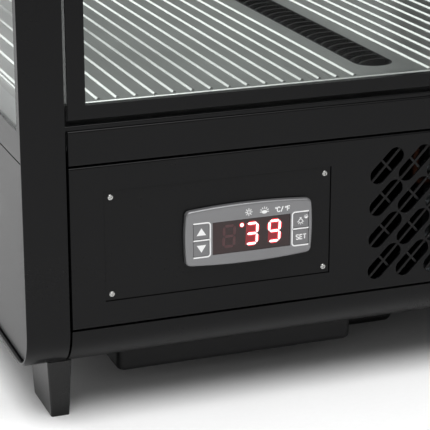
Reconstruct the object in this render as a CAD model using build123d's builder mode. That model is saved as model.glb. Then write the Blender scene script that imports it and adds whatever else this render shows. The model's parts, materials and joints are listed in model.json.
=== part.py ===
from build123d import *
import os

# Countertop refrigerated display case. Millimetres, +Z up, front towards -Y.
# The origin is on the counter, midway across the whole object, door handle included.

# ---------------------------------------------------------------- overall
WIDTH = 445.0              # across the two end frames
DEPTH = 400.0              # front band face to rear band face
HEIGHT = 810.0             # counter to top
FOOT_HEIGHT = 33.0
CORNER_RADIUS = 24.0       # outer corner of the end frames, seen from the side
HANDLE_PROUD = 27.0        # handle grip in front of the band face
GLAND_PROUD = 9.0          # cable gland behind the rear face

# ---------------------------------------------------------------- end frames and infills
BAND_WIDTH = 24.0
BAND_WALL = 2.0
EDGE_ROUND = 0.7
SIDE_RECESS = 2.5          # side trim and panels sit this far inside the band edge
BAND_GAP = 1.2             # shadow gap between band and what it frames
FLANGE_WALL = 1.5
FLANGE_WIDTH = 12.0
PANEL_RIM = 10.0           # inward folded rim of the side panels

# ---------------------------------------------------------------- sheet and glass
SHEET = 1.2
TRIM_SHEET = 1.5
GLASS = 4.0
SEAM = 0.8                 # seam between neighbouring panels
PANEL_GAP = 1.4            # gap between an end frame and the front panels
PANEL_RECESS = 0.4
RETURN_DEPTH = 8.0         # folded edge behind a panel
FOLD_RADIUS = 1.1

# ---------------------------------------------------------------- heights of the front
MACHINE_HEIGHT = 116.0     # body bottom to the top of the lower front panel
FASCIA_HEIGHT = 19.6
SILL_THICKNESS = 2.7
DOOR_GAP = 2.8             # sill to door and door to header
SIDE_SEAM_RISE = 1.4       # side seam above the front panel's top
SIDE_BORDER = 16.5         # visible border round the side and rear glass
HEADER_HEIGHT = 42.0       # header, with its round top edge
RAIL_LEG = 12.0            # flat leg of the lower rails behind their curve

# ---------------------------------------------------------------- door
DOOR_SIDE_GAP = 1.7
DOOR_DEPTH = 15.0
DOOR_RECESS = 0.8
STILE = 10.0
LOWER_RAIL = 7.7
UPPER_RAIL = 10.0
REBATE = 3.0
PANE_CLEARANCE = 0.2
GASKET_DEPTH = 2.5
GASKET_WIDTH = 5.0
GASKET_FOOT = 3.5          # gasket width along the lower and upper rails
GASKET_INSET = 1.0         # gasket from the door's side edges
GASKET_END_INSET = 0.5     # gasket from the door's lower and upper edges
PIVOT_INSET = 5.0          # hinge axis from the door's side and front faces
PIN_RADIUS = 2.0
PIN_CLEARANCE = 0.05
PIN_END_GAP = 0.4
BUSH_WALL = 1.2
BUSH_PANE_GAP = 0.3        # bush end to the pane's rebate
COLLAR_WIDTH = 1.4
THRUST_GAP = 0.3           # collar to door
HANDLE_LENGTH = 170.0
HANDLE_HEIGHT = 470.0
HANDLE_WIDTH = 9.0
HANDLE_BAR = 8.0
HANDLE_BEND = 12.0
HANDLE_INNER_BEND = 6.0
HANDLE_EDGE = 1.5

# ---------------------------------------------------------------- control plate and thermostat
PLATE_LEFT = 44.4
PLATE_WIDTH = 131.6
PLATE_RISE = 14.7          # plate above the lower rail's seam
PLATE_TOP_GAP = 14.9       # plate below the front panel's top
PLATE_RECESS = 0.8
PLATE_CLEARANCE = 0.3
PLATE_SEAT = 5.0
SCREW_INSET = 3.8
SCREW_HEAD_RADIUS = 1.6
SCREW_SHANK_RADIUS = 0.9
SCREW_LENGTH = 5.0
SCREW_CROWN = 0.7
SCREW_TURN = 20.0
CROSS_LENGTH = 2.0
CROSS_WIDTH = 0.5
BEZEL_WIDTH = 75.0
BEZEL_END_HEIGHT = 31.0    # bezel height at its ends
BEZEL_BULGE = 1.7          # how far each long side bows out
BEZEL_END_BULGE = 0.9      # how far each end bows out
BEZEL_CORNER = 3.0
BEZEL_EDGE = 1.3
BEZEL_PROUD = 3.4
BEZEL_RIGHT_GAP = 11.9     # bezel to the plate's right edge
BEZEL_DROP = 0.8           # bezel centre below the plate's centre
CASE_SIDE_INSET = 2.3      # case narrower than the bezel, each side
CASE_END_INSET = 1.3       # case lower than the bezel's ends, above and below
CASE_DEPTH = 56.0
CASE_WALL = 1.5
CUTOUT_CLEARANCE = 0.3
WINDOW_HEIGHT = 18.7
WINDOW_DROP = 1.1          # window and buttons centred below the bezel centre
WINDOW_RECESS = 0.5
WINDOW_THICKNESS = 1.5
BOARD_THICKNESS = 1.6
BOARD_SETBACK = 6.0
DIGIT_BLOCK_SIDE = 1.9     # digit block narrower than the window, each side
DIGIT_BLOCK_END = 0.85     # digit block lower than the window, above and below
BUTTON_WIDTH = 9.2
BUTTON_HEIGHT = 8.6
BUTTON_GAP = 1.2           # between the two buttons of a pair
BUTTON_LEFT_MARGIN = 4.7   # left buttons to the bezel's end
BUTTON_RIGHT_MARGIN = 2.5
BUTTON_LEFT_GAP = 1.9      # left buttons to the window
BUTTON_RIGHT_GAP = 1.7
BUTTON_CLEARANCE = 0.2
BUTTON_REAR_GAP = 0.8      # behind a button, to the plate's face
BUTTON_CORNER = 0.8
BUTTON_EDGE = 0.3

# ---------------------------------------------------------------- grille in the front panel
SLOT_LENGTH = 24.8
SLOT_WIDTH = 9.8
SLOT_ANGLE = 45.0
SLOT_PITCH_X = 17.6
SLOT_PITCH_Z = 18.9
SLOT_PLATE_GAP = 34.1      # first column's centre from the control plate
SLOT_SIDE_MARGIN = 48.0    # last column's centre from the right side, at least
SLOT_RISE = 17.1           # lowest row's centre above the lower rail's seam
SLOT_TOP_MARGIN = 14.0     # highest row's centre below the panel's top, at least
GUARD_WIRE = 1.3
GUARD_MARGIN = 12.0        # guard beyond the outermost slot centres

# ---------------------------------------------------------------- deck
DECK_CLEARANCE = 1.5       # door gasket to deck
DECK_RISE = 7.2            # deck above the sill
DECK_SHEET = 1.2
DECK_SIDE_GAP = 4.5        # end frame's flange to deck
DECK_LIP = 6.5
RIB_PITCH = 10.7
RIB_FIRST = 23.6           # first rib each side of the centre line
RIB_WIDTH = 2.4
RIB_RISE = 1.0
RIB_SLOPE = 50.0
RIB_END_GAP = 2.4          # rib ends from the deck's edges
VENT_HALF_WIDTH = 11.7
VENT_SETBACK = 38.0
VENT_REAR_GAP = 62.0
VENT_PITCH = 10.7
VENT_BAR = 1.5
VENT_DEPTH = 5.0
VENT_RIM = 1.0
VENT_CLEARANCE = 0.2
VENT_BAR_SWEEP = 10.53     # how far a bar's left end reaches forward
VENT_BAR_CREST = 1.76      # where a bar straightens, right of the centre line

# ---------------------------------------------------------------- insulated tub and evaporator
TUB_HEIGHT = 20.0
TUB_WALL = 8.0
TUB_GAP = 2.2              # tub inside the deck's edges, front and rear
TUB_SIDE_GAP = 2.0
WELL_DEPTH = 110.0
WELL_DROP = 62.0
WELL_WALL = 10.0
WELL_INSET = 46.0          # well inside the tub's sides
COIL_DEPTH = 56.0
COIL_HEIGHT = 42.0
COIL_RISE = 4.0            # coil above the well's floor
COIL_FAN_GAP = 29.0
COIL_TUBE_ROWS = 2
EVAP_FAN_RADIUS = 27.0
EVAP_FAN_MARGIN = 6.0
EVAP_MOTOR_LENGTH = 22.0

# ---------------------------------------------------------------- machine compartment
PAN_LEFT = 100.0
PAN_WIDTH = 149.6
PAN_DEPTH = 176.0
PAN_DROP = 25.5            # pan below the cabinet floor
PAN_RADIUS = 5.0
PAN_FOOT_RADIUS = 4.0
PAN_FLANGE = 4.0
PAN_WALL = 1.6
PAN_TRAY_GAP = 1.0         # pan flange to the drip tray
COMPRESSOR_RADIUS = 54.0
COMPRESSOR_DOME = 21.6
COMPRESSOR_HEADROOM = 27.9
COMPRESSOR_SETBACK = 12.0  # shell behind the pan's front wall
COMPRESSOR_LIFT = 2.0      # shell above the underside of its foot plate
FOOT_PLATE = 3.0
GROMMET_RADIUS = 8.0
GROMMET_HEIGHT = 9.0
GROMMET_INSET = 13.5       # grommet centres inside the shell's radius
CONDENSER_RIGHT = 55.0     # condenser from the right side
CONDENSER_WIDTH = 128.0
CONDENSER_HEIGHT = 88.0
CONDENSER_DEPTH = 30.0
CONDENSER_TUBE_ROWS = 4
CORNER_CLEARANCE = 2.0     # machine parts behind the lower rails' curve
FIN_PITCH = 4.0
FIN_SLOT = 2.4
FIN_WEB = 1.5
COIL_TUBE = 4.0
FAN_MARGIN = 6.0           # fan inside the condenser's shorter side
FAN_CLEARANCE = 2.0
FAN_SETBACK = 3.0
FAN_GAP = 2.0
FAN_SHAFT = 2.0
FAN_HUB = 11.0
FAN_DEPTH = 12.0
BLADES = 5
BLADE_PITCH = 32.0
BLADE_THICKNESS = 1.6
BLADE_CHORD = 0.5          # blade chord over fan radius
BLADE_ROOT = 1.0           # blade let into the hub
SHROUD_WALL = 1.5
MOTOR_RADIUS = 16.0
MOTOR_LENGTH = 30.0
MOTOR_EDGE = 1.5
MOTOR_ARMS = 3
MOTOR_ARM_WIDTH = 5.0
MOTOR_ARM_THICKNESS = 3.0
MOTOR_ARM_GAP = 0.2
LINE_RADIUS = 3.0
LINE_RISE = 9.0
LINE_OFFSET = 20.0
LINE_BEND = 4.0
LINE_STANDOFF = 14.0       # discharge line beside the condenser
PORT_DROP = 16.0           # inlet below the condenser's top
ELECTRIC_WIDTH = 80.0
ELECTRIC_DEPTH = 70.0
ELECTRIC_HEADROOM = 5.8
ELECTRIC_WALL = 2.0
ELECTRIC_CORNER = 4.0

# ---------------------------------------------------------------- rear panel and cable gland
LOUVRE_LENGTH = 60.0
LOUVRE_WIDTH = 5.0
LOUVRE_GAP = 15.0
LOUVRE_PITCH = 11.0
LOUVRE_ROWS = 5
LOUVRE_TOP_MARGIN = 13.0
LOUVRE_SIDE_MARGIN = 16.0
GLAND_RIGHT = 105.0        # gland centre from the right side
GLAND_RISE = 33.0
GLAND_RADIUS = 6.0
GLAND_CLEARANCE = 0.02
GLAND_BORE = 3.6
GLAND_HEX = 9.0
GLAND_EDGE = 1.5

# ---------------------------------------------------------------- drip tray
TRAY_LEFT = 61.0
TRAY_WIDTH = 145.5
TRAY_SETBACK = 34.0
TRAY_DEPTH = 27.0
TRAY_DROP = 19.2           # tray below the cabinet floor
TRAY_WALL = 1.6
TRAY_RADIUS = 5.0
TRAY_FOOT_RADIUS = 4.0
TRAY_GAP = 0.6             # tray rim below the cabinet floor
TRAY_RIM = 3.2
TRAY_RIM_THICKNESS = 1.5
TRAY_SLIDE_CLEARANCE = 0.3
TRAY_RAIL_START = 12.0     # the rails start this far behind the tray's front

# ---------------------------------------------------------------- feet
FOOT_LEFT = 15.5
FOOT_SETBACK = 18.0
FOOT_TOP_WIDTH = 14.0
FOOT_SOLE_WIDTH = 10.5
FOOT_TOP_DEPTH = 40.0
FOOT_SOLE_DEPTH = 37.0
FOOT_SOLE_INSET = 1.0      # sole's front edge behind the foot's top front edge
FOOT_ROUND = 1.2

# ---------------------------------------------------------------- shelves
SHELF_HEIGHTS = {"lower": 372.0, "upper": 570.0}
SHELF_WIRE = 3.0
SHELF_RIM = 5.0
SHELF_PITCH = 17.0
SHELF_SIDE_GAP = 5.5       # end frame's flange to shelf
SHELF_CLEARANCE = 4.2      # shelf behind the deck's front edge
SHELF_CORNER = 8.0
SHELF_REST_GAP = 0.3
STANDARD_WIDTH = 9.0
STANDARD_THICKNESS = 2.6
STANDARD_GAP = 1.5         # end frame's flange to standard
STANDARD_TOP_GAP = 8.0
STANDARD_FOOT_GAP = 4.0
STANDARD_PITCH = 24.0
STANDARD_SLOT_WIDTH = 2.4
STANDARD_SLOT_HEIGHT = 10.0
CLIP_REACH = 1.6           # clip beyond the shelf's rim wire
CLIP_WIDTH = 6.0
CLIP_THICKNESS = 2.0
CLIP_HOOK = 9.0

# ---------------------------------------------------------------- ceiling and lighting
CEILING_RISE = 4.0         # ceiling above the header's lower edge
CEILING_THICKNESS = 3.0
LIGHT_SETBACK = 32.0
LIGHT_SIDE_GAP = 45.0
LIGHT_WIDTH = 22.0
LIGHT_HEIGHT = 9.0
LIGHT_EDGE = 2.0
DIFFUSER_DROP = 4.0
DIFFUSER_SIDE_INSET = 3.0
DIFFUSER_END_INSET = 4.0

# ---------------------------------------------------------------- derived places
FRONT = (HANDLE_PROUD - GLAND_PROUD - DEPTH) / 2      # front face of the bands
REAR = FRONT + DEPTH
MID_Y = (FRONT + REAR) / 2
LEFT = -WIDTH / 2
RIGHT = WIDTH / 2
SPAN = WIDTH - 2 * BAND_WIDTH                         # between the end frames
PANEL_WIDTH = SPAN - 2 * PANEL_GAP
PANEL_FACE = FRONT + PANEL_RECESS
REAR_FACE = REAR - PANEL_RECESS

BODY_BOTTOM = FOOT_HEIGHT
BODY_HEIGHT = HEIGHT - FOOT_HEIGHT
MID_Z = (BODY_BOTTOM + HEIGHT) / 2
FLOOR_TOP = BODY_BOTTOM + SHEET
LOWER_SEAM = BODY_BOTTOM + CORNER_RADIUS
MACHINE_TOP = BODY_BOTTOM + MACHINE_HEIGHT
FASCIA_TOP = MACHINE_TOP + FASCIA_HEIGHT
SILL_TOP = FASCIA_TOP + SILL_THICKNESS
SIDE_SEAM = MACHINE_TOP + SIDE_SEAM_RISE
HEADER_BOTTOM = HEIGHT - HEADER_HEIGHT

SIDE_STACK = SIDE_RECESS + TRIM_SHEET + GLASS         # side face to the flange
FLANGE_INSIDE = SIDE_STACK + FLANGE_WALL
DECK_SETBACK = DOOR_RECESS + DOOR_DEPTH + GASKET_DEPTH + DECK_CLEARANCE
DECK_TOP = SILL_TOP + DECK_RISE
DECK_WIDTH = WIDTH - 2 * (FLANGE_INSIDE + DECK_SIDE_GAP)
DECK_DEPTH = DEPTH - 2 * DECK_SETBACK
TUB_TOP = DECK_TOP - DECK_LIP
TUB_FLOOR = TUB_TOP - TUB_HEIGHT
TUB_WIDTH = DECK_WIDTH - 2 * TUB_SIDE_GAP
TUB_DEPTH = DECK_DEPTH - 2 * TUB_GAP
WELL_WIDTH = TUB_WIDTH - 2 * WELL_INSET
WELL_BOTTOM = TUB_FLOOR - WELL_DROP
WELL_REAR = REAR - DECK_SETBACK - TUB_GAP
WELL_Y = WELL_REAR - WELL_DEPTH / 2

BOTTOM_ALIGN = (Align.CENTER, Align.CENTER, Align.MIN)
HANGING_ALIGN = (Align.CENTER, Align.CENTER, Align.MAX)
FRONT_ALIGN = (Align.CENTER, Align.MIN, Align.CENTER)
FRONT_BOTTOM_ALIGN = (Align.CENTER, Align.MIN, Align.MIN)
FRONT_TOP_ALIGN = (Align.CENTER, Align.MIN, Align.MAX)
REAR_BOTTOM_ALIGN = (Align.CENTER, Align.MAX, Align.MIN)

os.makedirs("parts", exist_ok=True)


# ---------------------------------------------------------------- end frames
for side, face_x, inward in (("left", LEFT, 1), ("right", -LEFT, -1)):
    with BuildPart() as end_frame:
        with BuildSketch(Plane.YZ.offset(face_x)):
            with Locations((MID_Y, MID_Z)):
                RectangleRounded(DEPTH, BODY_HEIGHT, CORNER_RADIUS)
                RectangleRounded(DEPTH - 2 * BAND_WALL, BODY_HEIGHT - 2 * BAND_WALL,
                                 CORNER_RADIUS - BAND_WALL, mode=Mode.SUBTRACT)
        extrude(amount=inward * BAND_WIDTH)
        outer_edges = end_frame.edges().filter_by_position(Axis.X, face_x - 0.01, face_x + 0.01)
        fillet(outer_edges, radius=EDGE_ROUND)
        with BuildSketch(Plane.YZ.offset(face_x + inward * SIDE_STACK)):
            with Locations((MID_Y, MID_Z)):
                RectangleRounded(DEPTH - BAND_WALL, BODY_HEIGHT - BAND_WALL, CORNER_RADIUS - BAND_WALL / 2)
                Rectangle(DEPTH - 2 * (BAND_WALL + FLANGE_WIDTH),
                          BODY_HEIGHT - 2 * (BAND_WALL + FLANGE_WIDTH), mode=Mode.SUBTRACT)
        extrude(amount=inward * FLANGE_WALL)
    end_frame.part.label = f"end_frame_{side}"
    export_step(end_frame.part, f"parts/end_frame_{side}.step")


# ---------------------------------------------------------------- side panels, trims and panes
INFILL_DEPTH = DEPTH - 2 * (BAND_WALL + BAND_GAP)
INFILL_RADIUS = CORNER_RADIUS - BAND_WALL - BAND_GAP
INFILL_BOTTOM = BODY_BOTTOM + BAND_WALL + BAND_GAP
INFILL_TOP = HEIGHT - BAND_WALL - BAND_GAP
SIDE_PANEL_TOP = SIDE_SEAM - SEAM / 2
TRIM_BOTTOM = SIDE_SEAM + SEAM / 2

for side, face_x, inward in (("left", LEFT, 1), ("right", -LEFT, -1)):
    with BuildPart() as side_panel:
        with BuildSketch(Plane.YZ.offset(face_x + inward * SIDE_RECESS)) as outline:
            with Locations((MID_Y, (INFILL_BOTTOM + SIDE_PANEL_TOP) / 2)):
                Rectangle(INFILL_DEPTH, SIDE_PANEL_TOP - INFILL_BOTTOM)
            fillet(outline.vertices().group_by(Axis.Y)[0], radius=INFILL_RADIUS)
        extrude(amount=inward * (SIDE_STACK - SIDE_RECESS))
        with BuildSketch(Plane.YZ.offset(face_x + inward * (SIDE_RECESS + SHEET))):
            with Locations((MID_Y, (INFILL_BOTTOM + SIDE_PANEL_TOP) / 2)):
                RectangleRounded(INFILL_DEPTH - 2 * PANEL_RIM,
                                 SIDE_PANEL_TOP - INFILL_BOTTOM - 2 * PANEL_RIM, INFILL_RADIUS / 2)
        extrude(amount=inward * SIDE_STACK, mode=Mode.SUBTRACT)
    side_panel.part.label = f"side_panel_{side}"
    export_step(side_panel.part, f"parts/side_panel_{side}.step")

    with BuildPart() as side_trim:
        with BuildSketch(Plane.YZ.offset(face_x + inward * SIDE_RECESS)) as outline:
            with Locations((MID_Y, (TRIM_BOTTOM + INFILL_TOP) / 2)):
                Rectangle(INFILL_DEPTH, INFILL_TOP - TRIM_BOTTOM)
            fillet(outline.vertices().group_by(Axis.Y)[-1], radius=INFILL_RADIUS)
            with Locations((MID_Y, (SIDE_SEAM + HEIGHT) / 2)):
                Rectangle(DEPTH - 2 * SIDE_BORDER, HEIGHT - SIDE_SEAM - 2 * SIDE_BORDER, mode=Mode.SUBTRACT)
        extrude(amount=inward * TRIM_SHEET)
    side_trim.part.label = f"side_trim_{side}"
    export_step(side_trim.part, f"parts/side_trim_{side}.step")

    with BuildPart() as side_glass:
        with BuildSketch(Plane.YZ.offset(face_x + inward * (SIDE_RECESS + TRIM_SHEET))) as outline:
            with Locations((MID_Y, (TRIM_BOTTOM + INFILL_TOP) / 2)):
                Rectangle(INFILL_DEPTH - 2 * BAND_GAP, INFILL_TOP - TRIM_BOTTOM - 2 * BAND_GAP)
            fillet(outline.vertices().group_by(Axis.Y)[-1], radius=INFILL_RADIUS - BAND_GAP)
        extrude(amount=inward * GLASS)
    side_glass.part.label = f"side_glass_{side}"
    export_step(side_glass.part, f"parts/side_glass_{side}.step")


# ---------------------------------------------------------------- rounded lower rails and base pan
BASE_SETBACK = CORNER_RADIUS + RAIL_LEG
RAIL_HEIGHT = CORNER_RADIUS - SEAM / 2
MACHINE_SETBACK = CORNER_RADIUS + CORNER_CLEARANCE

for side, face_y, inward in (("front", FRONT, 1), ("rear", REAR, -1)):
    with BuildPart() as lower_rail:
        with BuildSketch(Plane.YZ.offset(-PANEL_WIDTH / 2)):
            with Locations((MID_Y, MID_Z)):
                RectangleRounded(DEPTH - 2 * PANEL_RECESS, BODY_HEIGHT, CORNER_RADIUS)
                RectangleRounded(DEPTH - 2 * (PANEL_RECESS + SHEET), BODY_HEIGHT - 2 * SHEET,
                                 CORNER_RADIUS - SHEET, mode=Mode.SUBTRACT)
            with Locations((face_y + inward * BASE_SETBACK / 2, BODY_BOTTOM + RAIL_HEIGHT / 2)):
                Rectangle(BASE_SETBACK, RAIL_HEIGHT, mode=Mode.INTERSECT)
        extrude(amount=PANEL_WIDTH)
    lower_rail.part.label = f"{side}_rail"
    export_step(lower_rail.part, f"parts/{side}_rail.step")

PAN_FRONT = FRONT + TRAY_SETBACK + TRAY_DEPTH + PAN_TRAY_GAP + PAN_FLANGE
PAN_BOTTOM = BODY_BOTTOM - PAN_DROP
PAN_X = LEFT + PAN_LEFT + PAN_WIDTH / 2
PAN_Y = PAN_FRONT + PAN_DEPTH / 2

with BuildPart() as base_pan:
    with Locations((0, MID_Y, BODY_BOTTOM)):
        Box(SPAN, DEPTH - 2 * BASE_SETBACK, SHEET, align=BOTTOM_ALIGN)
    with Locations((PAN_X, PAN_Y, BODY_BOTTOM)):
        Box(PAN_WIDTH - 2 * PAN_WALL, PAN_DEPTH - 2 * PAN_WALL, SHEET, align=BOTTOM_ALIGN,
            mode=Mode.SUBTRACT)
base_pan.part.label = "base_pan"
export_step(base_pan.part, "parts/base_pan.step")


# ---------------------------------------------------------------- folded sheet panels
def folded_panel(face_y, inward, z_low, z_high):
    """Sheet face between the end frames, with its four edges folded back."""
    height = z_high - z_low
    with BuildPart() as panel:
        with Locations((0, face_y, (z_low + z_high) / 2)):
            Box(PANEL_WIDTH, RETURN_DEPTH, height,
                align=(Align.CENTER, Align.MIN if inward > 0 else Align.MAX, Align.CENTER))
        fillet(panel.faces().sort_by(Axis.Y)[0 if inward > 0 else -1].edges(), radius=FOLD_RADIUS)
        with Locations((0, face_y + inward * SHEET, (z_low + z_high) / 2)):
            Box(PANEL_WIDTH - 2 * SHEET, RETURN_DEPTH, height - 2 * SHEET, mode=Mode.SUBTRACT,
                align=(Align.CENTER, Align.MIN if inward > 0 else Align.MAX, Align.CENTER))
    return panel.part


PLATE_BOTTOM = LOWER_SEAM + PLATE_RISE
PLATE_HEIGHT = MACHINE_TOP - PLATE_TOP_GAP - PLATE_BOTTOM
PLATE_RIGHT = LEFT + PLATE_LEFT + PLATE_WIDTH
PLATE_X = PLATE_RIGHT - PLATE_WIDTH / 2
PLATE_Z = PLATE_BOTTOM + PLATE_HEIGHT / 2
PLATE_FACE = PANEL_FACE + PLATE_RECESS
SLOT_FIRST_X = PLATE_RIGHT + SLOT_PLATE_GAP
SLOT_FIRST_Z = LOWER_SEAM + SLOT_RISE
SLOT_COLUMNS = int((RIGHT - SLOT_SIDE_MARGIN - SLOT_FIRST_X) // SLOT_PITCH_X) + 1
SLOT_ROWS = int((MACHINE_TOP - SLOT_TOP_MARGIN - SLOT_FIRST_Z) // SLOT_PITCH_Z) + 1
GRILLE_WIDTH = (SLOT_COLUMNS - 1) * SLOT_PITCH_X
GRILLE_HEIGHT = (SLOT_ROWS - 1) * SLOT_PITCH_Z
GRILLE_X = SLOT_FIRST_X + GRILLE_WIDTH / 2
GRILLE_Z = SLOT_FIRST_Z + GRILLE_HEIGHT / 2
SCREW_SPREAD_X = PLATE_WIDTH - 2 * SCREW_INSET
SCREW_SPREAD_Z = PLATE_HEIGHT - 2 * SCREW_INSET

front_blank = folded_panel(PANEL_FACE, 1, LOWER_SEAM + SEAM / 2, MACHINE_TOP - SEAM / 2)
with BuildPart() as front_panel:
    add(front_blank)
    with Locations((PLATE_X, PANEL_FACE + SHEET / 2, PLATE_Z)):
        Box(PLATE_WIDTH + 2 * SHEET, PLATE_RECESS + 1.5 * SHEET, PLATE_HEIGHT + 2 * SHEET, align=FRONT_ALIGN)
    with Locations((PLATE_X, PANEL_FACE, PLATE_Z)):
        Box(PLATE_WIDTH, PLATE_RECESS + SHEET, PLATE_HEIGHT, align=FRONT_ALIGN, mode=Mode.SUBTRACT)
        Box(PLATE_WIDTH - 2 * PLATE_SEAT, RETURN_DEPTH, PLATE_HEIGHT - 2 * PLATE_SEAT, align=FRONT_ALIGN,
            mode=Mode.SUBTRACT)
    with BuildSketch(Plane.XZ.offset(-PANEL_FACE)):
        with Locations((PLATE_X, PLATE_Z)):
            with GridLocations(SCREW_SPREAD_X, SCREW_SPREAD_Z, 2, 2):
                Circle(SCREW_SHANK_RADIUS)
        with Locations((GRILLE_X, GRILLE_Z)):
            with GridLocations(SLOT_PITCH_X, SLOT_PITCH_Z, SLOT_COLUMNS, SLOT_ROWS):
                SlotOverall(SLOT_LENGTH, SLOT_WIDTH, rotation=SLOT_ANGLE)
    extrude(amount=-RETURN_DEPTH, mode=Mode.SUBTRACT)
front_panel.part.label = "front_panel"
export_step(front_panel.part, "parts/front_panel.step")

with BuildPart() as fascia_strip:
    add(folded_panel(PANEL_FACE, 1, MACHINE_TOP + SEAM / 2, FASCIA_TOP))
fascia_strip.part.label = "fascia_strip"
export_step(fascia_strip.part, "parts/fascia_strip.step")

GLAND_X = RIGHT - GLAND_RIGHT
GLAND_Z = BODY_BOTTOM + GLAND_RISE
LOUVRE_STEP = LOUVRE_LENGTH + LOUVRE_GAP
LOUVRE_COLUMNS = int((PANEL_WIDTH + LOUVRE_GAP - 2 * LOUVRE_SIDE_MARGIN) // LOUVRE_STEP)
LOUVRE_Z = MACHINE_TOP - LOUVRE_TOP_MARGIN - (LOUVRE_ROWS - 1) * LOUVRE_PITCH / 2

rear_blank = folded_panel(REAR_FACE, -1, LOWER_SEAM + SEAM / 2, MACHINE_TOP - SEAM / 2)
with BuildPart() as rear_panel:
    add(rear_blank)
    with BuildSketch(Plane.XZ.offset(-REAR_FACE)):
        with Locations((0, LOUVRE_Z)):
            with GridLocations(LOUVRE_STEP, LOUVRE_PITCH, LOUVRE_COLUMNS, LOUVRE_ROWS):
                SlotOverall(LOUVRE_LENGTH, LOUVRE_WIDTH)
        with Locations((GLAND_X, GLAND_Z)):
            Circle(GLAND_RADIUS + GLAND_CLEARANCE)
    extrude(amount=RETURN_DEPTH, mode=Mode.SUBTRACT)
rear_panel.part.label = "rear_panel"
export_step(rear_panel.part, "parts/rear_panel.step")

REAR_FRAME_TOP = HEADER_BOTTOM + SILL_THICKNESS - SEAM
REAR_FRAME_BOTTOM = MACHINE_TOP + SEAM / 2
REAR_OPENING_BOTTOM = SIDE_SEAM + SIDE_BORDER
REAR_OPENING_TOP = HEADER_BOTTOM - UPPER_RAIL
REAR_OPENING_HEIGHT = REAR_OPENING_TOP - REAR_OPENING_BOTTOM
REAR_OPENING_Z = (REAR_OPENING_TOP + REAR_OPENING_BOTTOM) / 2
rear_frame_blank = folded_panel(REAR_FACE, -1, REAR_FRAME_BOTTOM, REAR_FRAME_TOP)
with BuildPart() as rear_frame:
    add(rear_frame_blank)
    with Locations((0, REAR_FACE, REAR_OPENING_Z)):
        Box(PANEL_WIDTH - 2 * STILE, 4 * SHEET, REAR_OPENING_HEIGHT, mode=Mode.SUBTRACT)
rear_frame.part.label = "rear_frame"
export_step(rear_frame.part, "parts/rear_frame.step")

with BuildPart() as rear_glass:
    with Locations((0, REAR_FACE - SHEET - GLASS / 2, REAR_OPENING_Z)):
        Box(PANEL_WIDTH - 2 * STILE + 2 * REBATE, GLASS, REAR_OPENING_HEIGHT + 2 * REBATE)
rear_glass.part.label = "rear_glass"
export_step(rear_glass.part, "parts/rear_glass.step")


# ---------------------------------------------------------------- wire guard behind the grille
GUARD_SLOPE = Vector(SLOT_PITCH_X, SLOT_PITCH_Z).get_angle(Vector(1, 0))
GUARD_WIDTH = GRILLE_WIDTH + 2 * GUARD_MARGIN
GUARD_HEIGHT = GRILLE_HEIGHT + 2 * GUARD_MARGIN
GUARD_LINES = SLOT_COLUMNS + SLOT_ROWS + 1

with BuildPart() as grille_guard:
    with BuildSketch(Plane.XZ.offset(-(PANEL_FACE + SHEET))):
        with Locations((GRILLE_X, GRILLE_Z)):
            with GridLocations(SLOT_PITCH_X, 1, GUARD_LINES, 1):
                Rectangle(2 * GUARD_HEIGHT, GUARD_WIRE, rotation=GUARD_SLOPE)
                Rectangle(2 * GUARD_HEIGHT, GUARD_WIRE, rotation=-GUARD_SLOPE)
            Rectangle(GUARD_WIDTH, GUARD_HEIGHT, mode=Mode.INTERSECT)
    extrude(amount=-GUARD_WIRE)
    with BuildSketch(Plane.XZ.offset(-(PANEL_FACE + SHEET))):
        with Locations((GRILLE_X, GRILLE_Z)):
            Rectangle(GUARD_WIDTH, GUARD_HEIGHT)
            Rectangle(GUARD_WIDTH - 2 * GUARD_WIRE, GUARD_HEIGHT - 2 * GUARD_WIRE, mode=Mode.SUBTRACT)
    extrude(amount=-GUARD_WIRE)
grille_guard.part.label = "grille_guard"
export_step(grille_guard.part, "parts/grille_guard.step")


# ---------------------------------------------------------------- control plate and its screws
BEZEL_X = PLATE_RIGHT - BEZEL_RIGHT_GAP - BEZEL_WIDTH / 2
BEZEL_Z = PLATE_Z - BEZEL_DROP
CASE_WIDTH = BEZEL_WIDTH - 2 * CASE_SIDE_INSET
CASE_HEIGHT = BEZEL_END_HEIGHT - 2 * CASE_END_INSET

with BuildPart() as control_plate:
    with BuildSketch(Plane.XZ.offset(-PLATE_FACE)):
        with Locations((PLATE_X, PLATE_Z)):
            Rectangle(PLATE_WIDTH - 2 * PLATE_CLEARANCE, PLATE_HEIGHT - 2 * PLATE_CLEARANCE)
            with GridLocations(SCREW_SPREAD_X, SCREW_SPREAD_Z, 2, 2):
                Circle(SCREW_SHANK_RADIUS, mode=Mode.SUBTRACT)
        with Locations((BEZEL_X, BEZEL_Z)):
            Rectangle(CASE_WIDTH + 2 * CUTOUT_CLEARANCE, CASE_HEIGHT + 2 * CUTOUT_CLEARANCE,
                      mode=Mode.SUBTRACT)
    extrude(amount=-SHEET)
control_plate.part.label = "control_plate"
export_step(control_plate.part, "parts/control_plate.step")


CROSS_DEPTH = SCREW_CROWN * 0.8

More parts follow.
